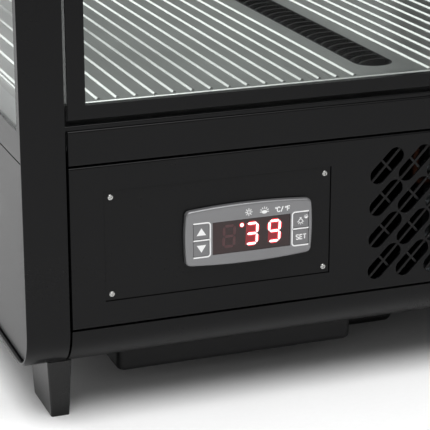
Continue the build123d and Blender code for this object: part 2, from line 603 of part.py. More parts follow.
with BuildPart() as plate_screws:
    with BuildSketch(Plane.XZ.offset(-PLATE_FACE)):
        with Locations((PLATE_X, PLATE_Z)):
            with GridLocations(SCREW_SPREAD_X, SCREW_SPREAD_Z, 2, 2):
                Circle(SCREW_HEAD_RADIUS)
    extrude(amount=SCREW_CROWN)
    crown_edges = plate_screws.faces().filter_by(Axis.Y).group_by(Axis.Y)[0].edges()
    fillet(crown_edges, radius=CROSS_DEPTH)
    with BuildSketch(Plane.XZ.offset(-PLATE_FACE)):
        with Locations((PLATE_X, PLATE_Z)):
            with GridLocations(SCREW_SPREAD_X, SCREW_SPREAD_Z, 2, 2):
                Circle(SCREW_SHANK_RADIUS)
    extrude(amount=-SCREW_LENGTH)
    with BuildSketch(Plane.XZ.offset(-(PLATE_FACE - SCREW_CROWN))):
        with Locations((PLATE_X, PLATE_Z)):
            with GridLocations(SCREW_SPREAD_X, SCREW_SPREAD_Z, 2, 2):
                Rectangle(CROSS_LENGTH, CROSS_WIDTH, rotation=SCREW_TURN)
                Rectangle(CROSS_WIDTH, CROSS_LENGTH, rotation=SCREW_TURN)
    extrude(amount=-CROSS_DEPTH, mode=Mode.SUBTRACT)
plate_screws.part.label = "plate_screws"
export_step(plate_screws.part, "parts/plate_screws.step")


# ---------------------------------------------------------------- thermostat
BEZEL_FRONT = PLATE_FACE - BEZEL_PROUD
BUTTON_LEFT_X = BEZEL_X - BEZEL_WIDTH / 2 + BUTTON_LEFT_MARGIN + BUTTON_WIDTH / 2
BUTTON_RIGHT_X = BEZEL_X + BEZEL_WIDTH / 2 - BUTTON_RIGHT_MARGIN - BUTTON_WIDTH / 2
BUTTON_RISE = (BUTTON_HEIGHT + BUTTON_GAP) / 2
WINDOW_LEFT = BUTTON_LEFT_X + BUTTON_WIDTH / 2 + BUTTON_LEFT_GAP
WINDOW_RIGHT = BUTTON_RIGHT_X - BUTTON_WIDTH / 2 - BUTTON_RIGHT_GAP
WINDOW_WIDTH = WINDOW_RIGHT - WINDOW_LEFT
WINDOW_X = (WINDOW_LEFT + WINDOW_RIGHT) / 2
WINDOW_Z = BEZEL_Z - WINDOW_DROP
BUTTON_PLACES = {
    "button_up": (BUTTON_LEFT_X, WINDOW_Z + BUTTON_RISE),
    "button_down": (BUTTON_LEFT_X, WINDOW_Z - BUTTON_RISE),
    "button_light": (BUTTON_RIGHT_X, WINDOW_Z + BUTTON_RISE),
    "button_set": (BUTTON_RIGHT_X, WINDOW_Z - BUTTON_RISE),
}

with BuildPart() as thermostat_bezel:
    with BuildSketch(Plane.XZ.offset(-PLATE_FACE)) as outline:
        with BuildLine():
            right = BEZEL_X + BEZEL_WIDTH / 2 - BEZEL_END_BULGE
            left = BEZEL_X - BEZEL_WIDTH / 2 + BEZEL_END_BULGE
            high = BEZEL_Z + BEZEL_END_HEIGHT / 2
            low = BEZEL_Z - BEZEL_END_HEIGHT / 2
            ThreePointArc((left, high), (BEZEL_X, high + BEZEL_BULGE), (right, high))
            ThreePointArc((right, high), (right + BEZEL_END_BULGE, BEZEL_Z), (right, low))
            ThreePointArc((right, low), (BEZEL_X, low - BEZEL_BULGE), (left, low))
            ThreePointArc((left, low), (left - BEZEL_END_BULGE, BEZEL_Z), (left, high))
        make_face()
        fillet(outline.vertices(), radius=BEZEL_CORNER)
    extrude(amount=BEZEL_PROUD)
    fillet(thermostat_bezel.faces().sort_by(Axis.Y)[0].edges(), radius=BEZEL_EDGE)
    with BuildSketch(Plane.XZ.offset(-BEZEL_FRONT)):
        with Locations((WINDOW_X, WINDOW_Z)):
            Rectangle(WINDOW_WIDTH, WINDOW_HEIGHT)
        with Locations(*BUTTON_PLACES.values()):
            Rectangle(BUTTON_WIDTH + 2 * BUTTON_CLEARANCE, BUTTON_HEIGHT + 2 * BUTTON_CLEARANCE)
    extrude(amount=-BEZEL_PROUD, mode=Mode.SUBTRACT)
thermostat_bezel.part.label = "thermostat_bezel"
export_step(thermostat_bezel.part, "parts/thermostat_bezel.step")

with BuildPart() as display_window:
    with Locations((WINDOW_X, BEZEL_FRONT + WINDOW_RECESS, WINDOW_Z)):
        Box(WINDOW_WIDTH, WINDOW_THICKNESS, WINDOW_HEIGHT, align=FRONT_ALIGN)
display_window.part.label = "display_window"
export_step(display_window.part, "parts/display_window.step")

for button_name, (button_x, button_z) in BUTTON_PLACES.items():
    with BuildPart() as button:
        with Locations((button_x, BEZEL_FRONT, button_z)):
            Box(BUTTON_WIDTH, BEZEL_PROUD - BUTTON_REAR_GAP, BUTTON_HEIGHT, align=FRONT_ALIGN)
        fillet(button.edges().filter_by(Axis.Y), radius=BUTTON_CORNER)
        fillet(button.faces().sort_by(Axis.Y)[0].edges(), radius=BUTTON_EDGE)
    button.part.label = button_name
    export_step(button.part, f"parts/{button_name}.step")

with BuildPart() as thermostat_case:
    with Locations((BEZEL_X, PLATE_FACE, BEZEL_Z)):
        Box(CASE_WIDTH, CASE_DEPTH, CASE_HEIGHT, align=FRONT_ALIGN)
    fillet(thermostat_case.edges().filter_by(Axis.Y), radius=CASE_WALL)
    with Locations((BEZEL_X, PLATE_FACE, BEZEL_Z)):
        Box(CASE_WIDTH - 2 * CASE_WALL, CASE_DEPTH - CASE_WALL, CASE_HEIGHT - 2 * CASE_WALL,
            align=FRONT_ALIGN, mode=Mode.SUBTRACT)
thermostat_case.part.label = "thermostat_case"
export_step(thermostat_case.part, "parts/thermostat_case.step")

BOARD_FACE = PLATE_FACE + BOARD_SETBACK
BLOCK_FACE = BEZEL_FRONT + WINDOW_RECESS + WINDOW_THICKNESS

with BuildPart() as display_board:
    with Locations((BEZEL_X, BOARD_FACE, BEZEL_Z)):
        Box(CASE_WIDTH - 2 * CASE_WALL, BOARD_THICKNESS, CASE_HEIGHT - 2 * CASE_WALL, align=FRONT_ALIGN)
    with Locations((WINDOW_X, BLOCK_FACE, WINDOW_Z)):
        Box(WINDOW_WIDTH - 2 * DIGIT_BLOCK_SIDE, BOARD_FACE - BLOCK_FACE,
            WINDOW_HEIGHT - 2 * DIGIT_BLOCK_END, align=FRONT_ALIGN)
display_board.part.label = "display_board"
export_step(display_board.part, "parts/display_board.step")


# ---------------------------------------------------------------- door sill
PIN_X = SPAN / 2 - DOOR_SIDE_GAP - PIVOT_INSET
PIN_Y = FRONT + DOOR_RECESS + PIVOT_INSET
BAR_FRONT = FRONT + DOOR_RECESS
BAR_DEPTH = DECK_SETBACK - DOOR_RECESS

with BuildPart() as door_sill:
    with Locations((0, BAR_FRONT, FASCIA_TOP)):
        Box(SPAN, BAR_DEPTH, SILL_THICKNESS, align=FRONT_BOTTOM_ALIGN)
    fillet(door_sill.edges().filter_by(Axis.X).group_by(Axis.Y)[0], radius=EDGE_ROUND)
    with Locations((PIN_X, PIN_Y, FASCIA_TOP)):
        Cylinder(PIN_RADIUS + PIN_CLEARANCE, SILL_THICKNESS, align=BOTTOM_ALIGN, mode=Mode.SUBTRACT)
door_sill.part.label = "door_sill"
export_step(door_sill.part, "parts/door_sill.step")


# ---------------------------------------------------------------- ribbed deck plate and its vent grille
RIB_COUNT = int((DECK_WIDTH / 2 - RIB_FIRST - RIB_WIDTH) // RIB_PITCH) + 1
RIB_SPAN = (RIB_COUNT - 1) * RIB_PITCH
VENT_LENGTH = DEPTH - VENT_SETBACK - VENT_REAR_GAP
VENT_MID_Y = FRONT + VENT_SETBACK + VENT_LENGTH / 2

with BuildPart() as deck_plate:
    with Locations((0, MID_Y, DECK_TOP - DECK_LIP)):
        Box(DECK_WIDTH, DECK_DEPTH, DECK_LIP, align=BOTTOM_ALIGN)
    fillet(deck_plate.faces().sort_by(Axis.Z)[-1].edges(), radius=DECK_SHEET)
    with Locations((0, MID_Y, DECK_TOP - DECK_LIP)):
        Box(DECK_WIDTH - 2 * DECK_SHEET, DECK_DEPTH - 2 * DECK_SHEET, DECK_LIP - DECK_SHEET,
            align=BOTTOM_ALIGN, mode=Mode.SUBTRACT)
    with BuildSketch(Plane.XZ.offset(-(FRONT + DECK_SETBACK + RIB_END_GAP))):
        for rib_side in (-1, 1):
            with Locations((rib_side * (RIB_FIRST + RIB_SPAN / 2), DECK_TOP)):
                with GridLocations(RIB_PITCH, 1, RIB_COUNT, 1):
                    Trapezoid(RIB_WIDTH, RIB_RISE, RIB_SLOPE, align=(Align.CENTER, Align.MIN))
    extrude(amount=-(DECK_DEPTH - 2 * RIB_END_GAP))
    with BuildSketch(Plane.XY.offset(DECK_TOP)):
        with Locations((0, VENT_MID_Y)):
            SlotOverall(VENT_LENGTH, 2 * VENT_HALF_WIDTH, rotation=90)
    extrude(amount=-DECK_LIP, mode=Mode.SUBTRACT)
deck_plate.part.label = "deck_plate"
export_step(deck_plate.part, "parts/deck_plate.step")

VENT_BARS = int((VENT_LENGTH - 2 * VENT_HALF_WIDTH) // VENT_PITCH) + 1

with BuildPart() as vent_grille:
    with BuildSketch(Plane.XY.offset(DECK_TOP)):
        for index in range(VENT_BARS):
            bar_y = VENT_MID_Y + (index - (VENT_BARS - 1) / 2) * VENT_PITCH
            with BuildLine():
                curve = ThreePointArc((-VENT_HALF_WIDTH, bar_y - VENT_BAR_SWEEP),
                                      (VENT_BAR_CREST, bar_y), (VENT_HALF_WIDTH, bar_y))
                offset(curve, amount=VENT_BAR / 2, side=Side.BOTH)
            make_face()
        with Locations((0, VENT_MID_Y)):
            SlotOverall(VENT_LENGTH - 2 * VENT_CLEARANCE, 2 * (VENT_HALF_WIDTH - VENT_CLEARANCE),
                        rotation=90, mode=Mode.INTERSECT)
    extrude(amount=-VENT_DEPTH)
    with BuildSketch(Plane.XY.offset(DECK_TOP)):
        with Locations((0, VENT_MID_Y)):
            SlotOverall(VENT_LENGTH - 2 * VENT_CLEARANCE, 2 * (VENT_HALF_WIDTH - VENT_CLEARANCE),
                        rotation=90)
            SlotOverall(VENT_LENGTH - 2 * (VENT_CLEARANCE + VENT_RIM),
                        2 * (VENT_HALF_WIDTH - VENT_CLEARANCE - VENT_RIM), rotation=90,
                        mode=Mode.SUBTRACT)
    extrude(amount=-VENT_DEPTH)
vent_grille.part.label = "vent_grille"
export_step(vent_grille.part, "parts/vent_grille.step")


# ---------------------------------------------------------------- insulated tub with its evaporator well

with BuildPart() as insulated_tub:
    with Locations((0, MID_Y, TUB_FLOOR)):
        Box(TUB_WIDTH, TUB_DEPTH, TUB_TOP - TUB_FLOOR, align=BOTTOM_ALIGN)
    with Locations((0, WELL_Y, WELL_BOTTOM)):
        Box(WELL_WIDTH, WELL_DEPTH, TUB_FLOOR - WELL_BOTTOM, align=BOTTOM_ALIGN)
    with Locations((0, MID_Y, TUB_FLOOR + TUB_WALL)):
        Box(TUB_WIDTH - 2 * TUB_WALL, TUB_DEPTH - 2 * TUB_WALL, TUB_TOP, align=BOTTOM_ALIGN,
            mode=Mode.SUBTRACT)
    with Locations((0, WELL_Y, WELL_BOTTOM + WELL_WALL)):
        Box(WELL_WIDTH - 2 * WELL_WALL, WELL_DEPTH - 2 * WELL_WALL, TUB_TOP, align=BOTTOM_ALIGN,
            mode=Mode.SUBTRACT)
insulated_tub.part.label = "insulated_tub"
export_step(insulated_tub.part, "parts/insulated_tub.step")


# ---------------------------------------------------------------- finned coils
def finned_coil(width, depth, height, tubes):
    """Row of upright fins between two webs, crossed by tubes that run along X."""
    with BuildPart() as coil:
        with BuildSketch(Plane.XY):
            Rectangle(width, depth)
            with GridLocations(FIN_PITCH, 1, int(width // FIN_PITCH) - 1, 1):
                Rectangle(FIN_SLOT, depth - 2 * FIN_WEB, mode=Mode.SUBTRACT)
        extrude(amount=height)
        with BuildSketch(Plane.YZ.offset(-width / 2 - COIL_TUBE)):
            with Locations((0, height / 2)):
                with GridLocations(depth / 2, height / tubes, 2, tubes):
                    Circle(COIL_TUBE)
        extrude(amount=width + 2 * COIL_TUBE)
    return coil.part


EVAP_FAN_SPAN = 2 * (EVAP_FAN_RADIUS + EVAP_FAN_MARGIN)
COIL_WIDTH = WELL_WIDTH - 2 * WELL_WALL - 4 * COIL_TUBE - EVAP_FAN_SPAN - COIL_FAN_GAP
COIL_X = -(WELL_WIDTH / 2 - WELL_WALL - COIL_WIDTH / 2 - 2 * COIL_TUBE)
COIL_Z = WELL_BOTTOM + WELL_WALL + COIL_RISE

with BuildPart() as evaporator:
    with Locations((COIL_X, WELL_Y, COIL_Z)):
        add(finned_coil(COIL_WIDTH, COIL_DEPTH, COIL_HEIGHT, COIL_TUBE_ROWS))
evaporator.part.label = "evaporator"
export_step(evaporator.part, "parts/evaporator.step")

CONDENSER_X = RIGHT - CONDENSER_RIGHT - CONDENSER_WIDTH / 2
CONDENSER_Y = FRONT + MACHINE_SETBACK + CONDENSER_DEPTH / 2

with BuildPart() as condenser:
    with Locations((CONDENSER_X, CONDENSER_Y, FLOOR_TOP)):
        add(finned_coil(CONDENSER_WIDTH, CONDENSER_DEPTH, CONDENSER_HEIGHT, CONDENSER_TUBE_ROWS))
condenser.part.label = "condenser"
export_step(condenser.part, "parts/condenser.step")


# ---------------------------------------------------------------- fans


def fan_rotor(plane, radius):
    """Pitched blades on a hub, turning about the plane's normal, hub base on the plane."""
    reach = radius - FAN_HUB + BLADE_ROOT
    with BuildPart(plane) as rotor:
        Cylinder(FAN_HUB, FAN_DEPTH, align=BOTTOM_ALIGN)
        with Locations((0, 0, FAN_DEPTH / 2)):
            with PolarLocations(radius - reach / 2, BLADES):
                Box(reach, radius * BLADE_CHORD, BLADE_THICKNESS, rotation=(BLADE_PITCH, 0, 0))
        Cylinder(FAN_SHAFT + PIN_CLEARANCE, 3 * FAN_DEPTH, mode=Mode.SUBTRACT)
    return rotor.part


def fan_motor(plane, radius, length, arm_reach):
    """Motor can below the plane with its shaft through the fan and arms to the side."""
    with BuildPart(plane) as motor:
        with Locations((0, 0, -FAN_GAP)):
            Cylinder(radius, length, align=HANGING_ALIGN)
        fillet(motor.edges().filter_by(GeomType.CIRCLE), radius=MOTOR_EDGE)
        with Locations((0, 0, -FAN_GAP)):
            Cylinder(FAN_SHAFT, FAN_GAP + FAN_DEPTH, align=BOTTOM_ALIGN)
        with Locations((0, 0, -FAN_GAP - length / 2)):
            with PolarLocations(arm_reach / 2, MOTOR_ARMS, start_angle=30):
                Box(arm_reach - MOTOR_ARM_GAP, MOTOR_ARM_WIDTH, MOTOR_ARM_THICKNESS)
    return motor.part


SHROUD_Y = CONDENSER_Y + CONDENSER_DEPTH / 2
SHROUD_DEPTH = FAN_SETBACK + FAN_DEPTH + FAN_GAP + (MOTOR_LENGTH + 2 * MOTOR_ARM_THICKNESS) / 2
FAN_Z = FLOOR_TOP + CONDENSER_HEIGHT / 2
FAN_RADIUS = min(CONDENSER_WIDTH, CONDENSER_HEIGHT) / 2 - FAN_MARGIN
condenser_fan_plane = Plane(origin=(CONDENSER_X, SHROUD_Y + FAN_SETBACK + FAN_DEPTH, FAN_Z),
                            x_dir=(1, 0, 0), z_dir=(0, -1, 0))

with BuildPart() as fan_shroud:
    with Locations((CONDENSER_X, SHROUD_Y, FAN_Z)):
        Box(CONDENSER_WIDTH, SHROUD_WALL, CONDENSER_HEIGHT, align=FRONT_ALIGN)
    with BuildSketch(Plane.XZ.offset(-SHROUD_Y)):
        with Locations((CONDENSER_X, FAN_Z)):
            Circle(FAN_RADIUS + FAN_CLEARANCE + SHROUD_WALL)
    extrude(amount=-SHROUD_DEPTH)
    with BuildSketch(Plane.XZ.offset(-SHROUD_Y)):
        with Locations((CONDENSER_X, FAN_Z)):
            Circle(FAN_RADIUS + FAN_CLEARANCE)
    extrude(amount=-SHROUD_DEPTH, mode=Mode.SUBTRACT)
fan_shroud.part.label = "fan_shroud"
export_step(fan_shroud.part, "parts/fan_shroud.step")

with BuildPart() as condenser_fan:
    add(fan_rotor(condenser_fan_plane, FAN_RADIUS))
condenser_fan.part.label = "condenser_fan"
export_step(condenser_fan.part, "parts/condenser_fan.step")

with BuildPart() as condenser_fan_motor:
    add(fan_motor(condenser_fan_plane, MOTOR_RADIUS, MOTOR_LENGTH, FAN_RADIUS + FAN_CLEARANCE))
condenser_fan_motor.part.label = "condenser_fan_motor"
export_step(condenser_fan_motor.part, "parts/condenser_fan_motor.step")

EVAP_FAN_X = (WELL_WIDTH - EVAP_FAN_SPAN) / 2 - WELL_WALL
EVAP_FAN_Z = WELL_BOTTOM + WELL_WALL + EVAP_MOTOR_LENGTH + FAN_GAP
evaporator_fan_plane = Plane(origin=(EVAP_FAN_X, WELL_Y, EVAP_FAN_Z), x_dir=(1, 0, 0), z_dir=(0, 0, 1))

with BuildPart() as evaporator_fan:
    add(fan_rotor(evaporator_fan_plane, EVAP_FAN_RADIUS))
evaporator_fan.part.label = "evaporator_fan"
export_step(evaporator_fan.part, "parts/evaporator_fan.step")

with BuildPart() as evaporator_fan_motor:
    add(fan_motor(evaporator_fan_plane, MOTOR_RADIUS, EVAP_MOTOR_LENGTH, EVAP_FAN_RADIUS))
evaporator_fan_motor.part.label = "evaporator_fan_motor"
export_step(evaporator_fan_motor.part, "parts/evaporator_fan_motor.step")


# ---------------------------------------------------------------- compressor in its dropped pan
with BuildPart() as compressor_pan:
    with Locations((PAN_X, PAN_Y, PAN_BOTTOM)):
        Box(PAN_WIDTH, PAN_DEPTH, PAN_DROP, align=BOTTOM_ALIGN)
    fillet(compressor_pan.edges().filter_by(Axis.Z), radius=PAN_RADIUS)
    fillet(compressor_pan.faces().sort_by(Axis.Z)[0].edges(), radius=PAN_FOOT_RADIUS)
    with Locations((PAN_X, PAN_Y, BODY_BOTTOM)):
        Box(PAN_WIDTH + 2 * PAN_FLANGE, PAN_DEPTH + 2 * PAN_FLANGE, SHEET,
            align=HANGING_ALIGN)
    with Locations((PAN_X, PAN_Y, PAN_BOTTOM + PAN_WALL)):
        Box(PAN_WIDTH - 2 * PAN_WALL, PAN_DEPTH - 2 * PAN_WALL, BODY_BOTTOM, align=BOTTOM_ALIGN,
            mode=Mode.SUBTRACT)
compressor_pan.part.label = "compressor_pan"
export_step(compressor_pan.part, "parts/compressor_pan.step")


COMPRESSOR_Y = PAN_FRONT + PAN_WALL + COMPRESSOR_SETBACK + COMPRESSOR_RADIUS
FOOT_PLATE_Z = PAN_BOTTOM + PAN_WALL + GROMMET_HEIGHT
COMPRESSOR_BASE = FOOT_PLATE_Z + COMPRESSOR_LIFT
COMPRESSOR_TOP = TUB_FLOOR - COMPRESSOR_HEADROOM
GROMMET_SPREAD = 2 * (COMPRESSOR_RADIUS - GROMMET_INSET)
FOOT_PLATE_WIDTH = GROMMET_SPREAD + 2 * GROMMET_RADIUS

with BuildPart() as compressor:
    with Locations((PAN_X, COMPRESSOR_Y, COMPRESSOR_BASE)):
        Cylinder(COMPRESSOR_RADIUS, COMPRESSOR_TOP - COMPRESSOR_BASE, align=BOTTOM_ALIGN)
    fillet(compressor.edges().filter_by(GeomType.CIRCLE), radius=COMPRESSOR_DOME)
    with Locations((PAN_X, COMPRESSOR_Y, FOOT_PLATE_Z)):
        Box(FOOT_PLATE_WIDTH, FOOT_PLATE_WIDTH, FOOT_PLATE, align=BOTTOM_ALIGN)
    with Locations((PAN_X, COMPRESSOR_Y, PAN_BOTTOM + PAN_WALL)):
        with GridLocations(GROMMET_SPREAD, GROMMET_SPREAD, 2, 2):
            Cylinder(GROMMET_RADIUS, GROMMET_HEIGHT, align=BOTTOM_ALIGN)
compressor.part.label = "compressor"
export_step(compressor.part, "parts/compressor.step")


# ---------------------------------------------------------------- refrigerant lines
PORT_Z = FLOOR_TOP + CONDENSER_HEIGHT - PORT_DROP
LINE_TOP = COMPRESSOR_TOP + LINE_RISE
DISCHARGE_X = PAN_X + LINE_OFFSET
SUCTION_X = PAN_X - LINE_OFFSET
CONDENSER_PORT_X = CONDENSER_X - CONDENSER_WIDTH / 2
DOWNPIPE_X = CONDENSER_PORT_X - LINE_STANDOFF
discharge_route = [
    (DISCHARGE_X, COMPRESSOR_Y, COMPRESSOR_TOP), (DISCHARGE_X, COMPRESSOR_Y, LINE_TOP),
    (DOWNPIPE_X, COMPRESSOR_Y, LINE_TOP), (DOWNPIPE_X, CONDENSER_Y, LINE_TOP),
    (DOWNPIPE_X, CONDENSER_Y, PORT_Z), (CONDENSER_PORT_X, CONDENSER_Y, PORT_Z),
]
suction_route = [
    (SUCTION_X, COMPRESSOR_Y, COMPRESSOR_TOP), (SUCTION_X, COMPRESSOR_Y, LINE_TOP),
    (SUCTION_X, WELL_REAR - WELL_DEPTH, LINE_TOP),
]

with BuildPart() as refrigerant_lines:
    for route in (discharge_route, suction_route):
        with BuildLine() as path:
            FilletPolyline(*route, radius=LINE_BEND)
        with BuildSketch(Plane(origin=route[0], z_dir=(0, 0, 1))):
            Circle(LINE_RADIUS)
        sweep(path=path.wires()[0])
refrigerant_lines.part.label = "refrigerant_lines"
export_step(refrigerant_lines.part, "parts/refrigerant_lines.step")


# ---------------------------------------------------------------- electrical box and cable gland

ELECTRIC_HEIGHT = WELL_BOTTOM - ELECTRIC_HEADROOM - FLOOR_TOP

with BuildPart() as electrical_box:
    with Locations((GLAND_X, REAR - MACHINE_SETBACK, FLOOR_TOP)):
        Box(ELECTRIC_WIDTH, ELECTRIC_DEPTH, ELECTRIC_HEIGHT, align=REAR_BOTTOM_ALIGN)
    fillet(electrical_box.edges().filter_by(Axis.Z), radius=ELECTRIC_CORNER)
    with Locations((GLAND_X, REAR - MACHINE_SETBACK - ELECTRIC_WALL, FLOOR_TOP + ELECTRIC_WALL)):
        Box(ELECTRIC_WIDTH - 2 * ELECTRIC_WALL, ELECTRIC_DEPTH - 2 * ELECTRIC_WALL,
            ELECTRIC_HEIGHT - 2 * ELECTRIC_WALL, align=REAR_BOTTOM_ALIGN, mode=Mode.SUBTRACT)
electrical_box.part.label = "electrical_box"
export_step(electrical_box.part, "parts/electrical_box.step")

with BuildPart() as cable_gland:
    with BuildSketch(Plane.XZ.offset(-REAR_FACE)):
        with Locations((GLAND_X, GLAND_Z)):
            RegularPolygon(GLAND_HEX, 6)
    extrude(amount=-(GLAND_PROUD + PANEL_RECESS))
    fillet(cable_gland.faces().sort_by(Axis.Y)[-1].edges(), radius=GLAND_EDGE)
    with BuildSketch(Plane.XZ.offset(-REAR_FACE)):
        with Locations((GLAND_X, GLAND_Z)):
            Circle(GLAND_RADIUS)
    extrude(amount=RETURN_DEPTH)
    with BuildSketch(Plane.XZ.offset(-(REAR + GLAND_PROUD))):
        with Locations((GLAND_X, GLAND_Z)):
            Circle(GLAND_BORE)
    extrude(amount=GLAND_PROUD + RETURN_DEPTH + PANEL_RECESS, mode=Mode.SUBTRACT)
cable_gland.part.label = "cable_gland"
export_step(cable_gland.part, "parts/cable_gland.step")


# ---------------------------------------------------------------- drip tray and its rails
TRAY_X = LEFT + TRAY_LEFT + TRAY_WIDTH / 2
TRAY_Y = FRONT + TRAY_SETBACK + TRAY_DEPTH / 2
TRAY_TOP = BODY_BOTTOM - TRAY_GAP
TRAY_BOTTOM = BODY_BOTTOM - TRAY_DROP
RIM_FRONT = FRONT + TRAY_SETBACK + TRAY_RAIL_START
RIM_DEPTH = TRAY_DEPTH - TRAY_RAIL_START

with BuildPart() as drip_tray:
    with Locations((TRAY_X, TRAY_Y, TRAY_BOTTOM)):
        Box(TRAY_WIDTH, TRAY_DEPTH, TRAY_TOP - TRAY_BOTTOM, align=BOTTOM_ALIGN)
    fillet(drip_tray.edges().filter_by(Axis.Z), radius=TRAY_RADIUS)
    fillet(drip_tray.faces().sort_by(Axis.Z)[0].edges(), radius=TRAY_FOOT_RADIUS)
    with Locations((TRAY_X, RIM_FRONT, TRAY_TOP)):
        Box(TRAY_WIDTH + 2 * TRAY_RIM, RIM_DEPTH, TRAY_RIM_THICKNESS, align=FRONT_TOP_ALIGN)
    with Locations((TRAY_X, TRAY_Y, TRAY_BOTTOM + TRAY_WALL)):
        Box(TRAY_WIDTH - 2 * TRAY_WALL, TRAY_DEPTH - 2 * TRAY_WALL, TRAY_TOP, align=BOTTOM_ALIGN,
            mode=Mode.SUBTRACT)
drip_tray.part.label = "drip_tray"
export_step(drip_tray.part, "parts/drip_tray.step")

RAIL_LIP_TOP = TRAY_TOP - TRAY_RIM_THICKNESS - TRAY_SLIDE_CLEARANCE
RAIL_WEB = TRAY_WIDTH / 2 + TRAY_RIM + TRAY_SLIDE_CLEARANCE
with BuildPart() as tray_rails:
    for rail_side in (-1, 1):
        with Locations((TRAY_X + rail_side * (RAIL_WEB + SHEET / 2), RIM_FRONT, BODY_BOTTOM)):
            Box(SHEET, RIM_DEPTH, BODY_BOTTOM - RAIL_LIP_TOP + SHEET, align=FRONT_TOP_ALIGN)
        with Locations((TRAY_X + rail_side * (RAIL_WEB - TRAY_RIM / 2 + SHEET), RIM_FRONT, RAIL_LIP_TOP)):
            Box(TRAY_RIM, RIM_DEPTH, SHEET, align=FRONT_TOP_ALIGN)
tray_rails.part.label = "tray_rails"
export_step(tray_rails.part, "parts/tray_rails.step")


# ---------------------------------------------------------------- feet
FOOT_X = WIDTH / 2 - FOOT_LEFT - FOOT_TOP_WIDTH / 2
FOOT_FRONT_Y = FRONT + FOOT_SETBACK
FOOT_REAR_Y = REAR - FOOT_SETBACK

with BuildPart() as feet:
    for foot_x in (-FOOT_X, FOOT_X):
        for foot_y, toward in ((FOOT_FRONT_Y, 1), (FOOT_REAR_Y, -1)):
            with BuildSketch(Plane.XY.offset(FOOT_HEIGHT)) as foot_top:
                with Locations((foot_x, foot_y + toward * FOOT_TOP_DEPTH / 2)):
                    RectangleRounded(FOOT_TOP_WIDTH, FOOT_TOP_DEPTH, FOOT_ROUND)
            with BuildSketch(Plane.XY) as foot_sole:
                with Locations((foot_x, foot_y + toward * (FOOT_SOLE_INSET + FOOT_SOLE_DEPTH / 2))):
                    RectangleRounded(FOOT_SOLE_WIDTH, FOOT_SOLE_DEPTH, FOOT_ROUND)
            loft(sections=[foot_sole.sketch, foot_top.sketch])
feet.part.label = "feet"
export_step(feet.part, "parts/feet.step")


# ---------------------------------------------------------------- top cover, ceiling and light
with BuildPart() as top_cover:
    with BuildSketch(Plane.YZ.offset(-PANEL_WIDTH / 2)):
        with Locations((MID_Y, MID_Z)):
            RectangleRounded(DEPTH - 2 * PANEL_RECESS, BODY_HEIGHT, CORNER_RADIUS)
            RectangleRounded(DEPTH - 2 * (PANEL_RECESS + SHEET), BODY_HEIGHT - 2 * SHEET,
                             CORNER_RADIUS - SHEET, mode=Mode.SUBTRACT)
        with Locations((MID_Y, (HEADER_BOTTOM + SILL_THICKNESS + HEIGHT) / 2)):
            Rectangle(DEPTH, HEADER_HEIGHT - SILL_THICKNESS, mode=Mode.INTERSECT)
    extrude(amount=PANEL_WIDTH)
    with Locations((0, BAR_FRONT, HEADER_BOTTOM)):
        Box(PANEL_WIDTH, BAR_DEPTH, SILL_THICKNESS, align=FRONT_BOTTOM_ALIGN)
    with Locations((PIN_X, PIN_Y, HEADER_BOTTOM)):
        Cylinder(PIN_RADIUS + PIN_CLEARANCE, SILL_THICKNESS, align=BOTTOM_ALIGN, mode=Mode.SUBTRACT)
top_cover.part.label = "top_cover"
export_step(top_cover.part, "parts/top_cover.step")

CEILING_Z = HEADER_BOTTOM + CEILING_RISE
with BuildPart() as ceiling_panel:
    with Locations((0, MID_Y, CEILING_Z)):
        Box(DECK_WIDTH, TUB_DEPTH, CEILING_THICKNESS, align=BOTTOM_ALIGN)
ceiling_panel.part.label = "ceiling_panel"
export_step(ceiling_panel.part, "parts/ceiling_panel.step")

LIGHT_LENGTH = WIDTH - 2 * LIGHT_SIDE_GAP

with BuildPart() as light_bar:
    with Locations((0, FRONT + LIGHT_SETBACK, CEILING_Z)):
        Box(LIGHT_LENGTH, LIGHT_WIDTH, LIGHT_HEIGHT, align=FRONT_TOP_ALIGN)
    fillet(light_bar.edges().filter_by(Axis.X).group_by(Axis.Z)[0], radius=LIGHT_EDGE)
light_bar.part.label = "light_bar"
export_step(light_bar.part, "parts/light_bar.step")

with BuildPart() as light_diffuser:
    with BuildSketch(Plane.YZ.offset(DIFFUSER_END_INSET - LIGHT_LENGTH / 2)):
        with Locations((FRONT + LIGHT_SETBACK + LIGHT_WIDTH / 2, CEILING_Z - LIGHT_HEIGHT)):
            Ellipse(LIGHT_WIDTH / 2 - DIFFUSER_SIDE_INSET, DIFFUSER_DROP)
            Rectangle(LIGHT_WIDTH, DIFFUSER_DROP, align=(Align.CENTER, Align.MIN), mode=Mode.SUBTRACT)
    extrude(amount=LIGHT_LENGTH - 2 * DIFFUSER_END_INSET)
light_diffuser.part.label = "light_diffuser"
export_step(light_diffuser.part, "parts/light_diffuser.step")


# ---------------------------------------------------------------- door
DOOR_WIDTH = SPAN - 2 * DOOR_SIDE_GAP
DOOR_BOTTOM = SILL_TOP + DOOR_GAP
DOOR_TOP = HEADER_BOTTOM - DOOR_GAP
DOOR_HEIGHT = DOOR_TOP - DOOR_BOTTOM
DOOR_Z = (DOOR_TOP + DOOR_BOTTOM) / 2
DOOR_FACE = FRONT + DOOR_RECESS
BUSH_LENGTH = LOWER_RAIL - REBATE - BUSH_PANE_GAP
BUSH_RADIUS = PIN_RADIUS + BUSH_WALL
OPENING_WIDTH = DOOR_WIDTH - 2 * STILE
OPENING_BOTTOM = DOOR_BOTTOM + LOWER_RAIL
OPENING_TOP = DOOR_TOP - UPPER_RAIL
OPENING_HEIGHT = OPENING_TOP - OPENING_BOTTOM
OPENING_Z = (OPENING_TOP + OPENING_BOTTOM) / 2
GLAZING_FACE = DOOR_FACE + REBATE

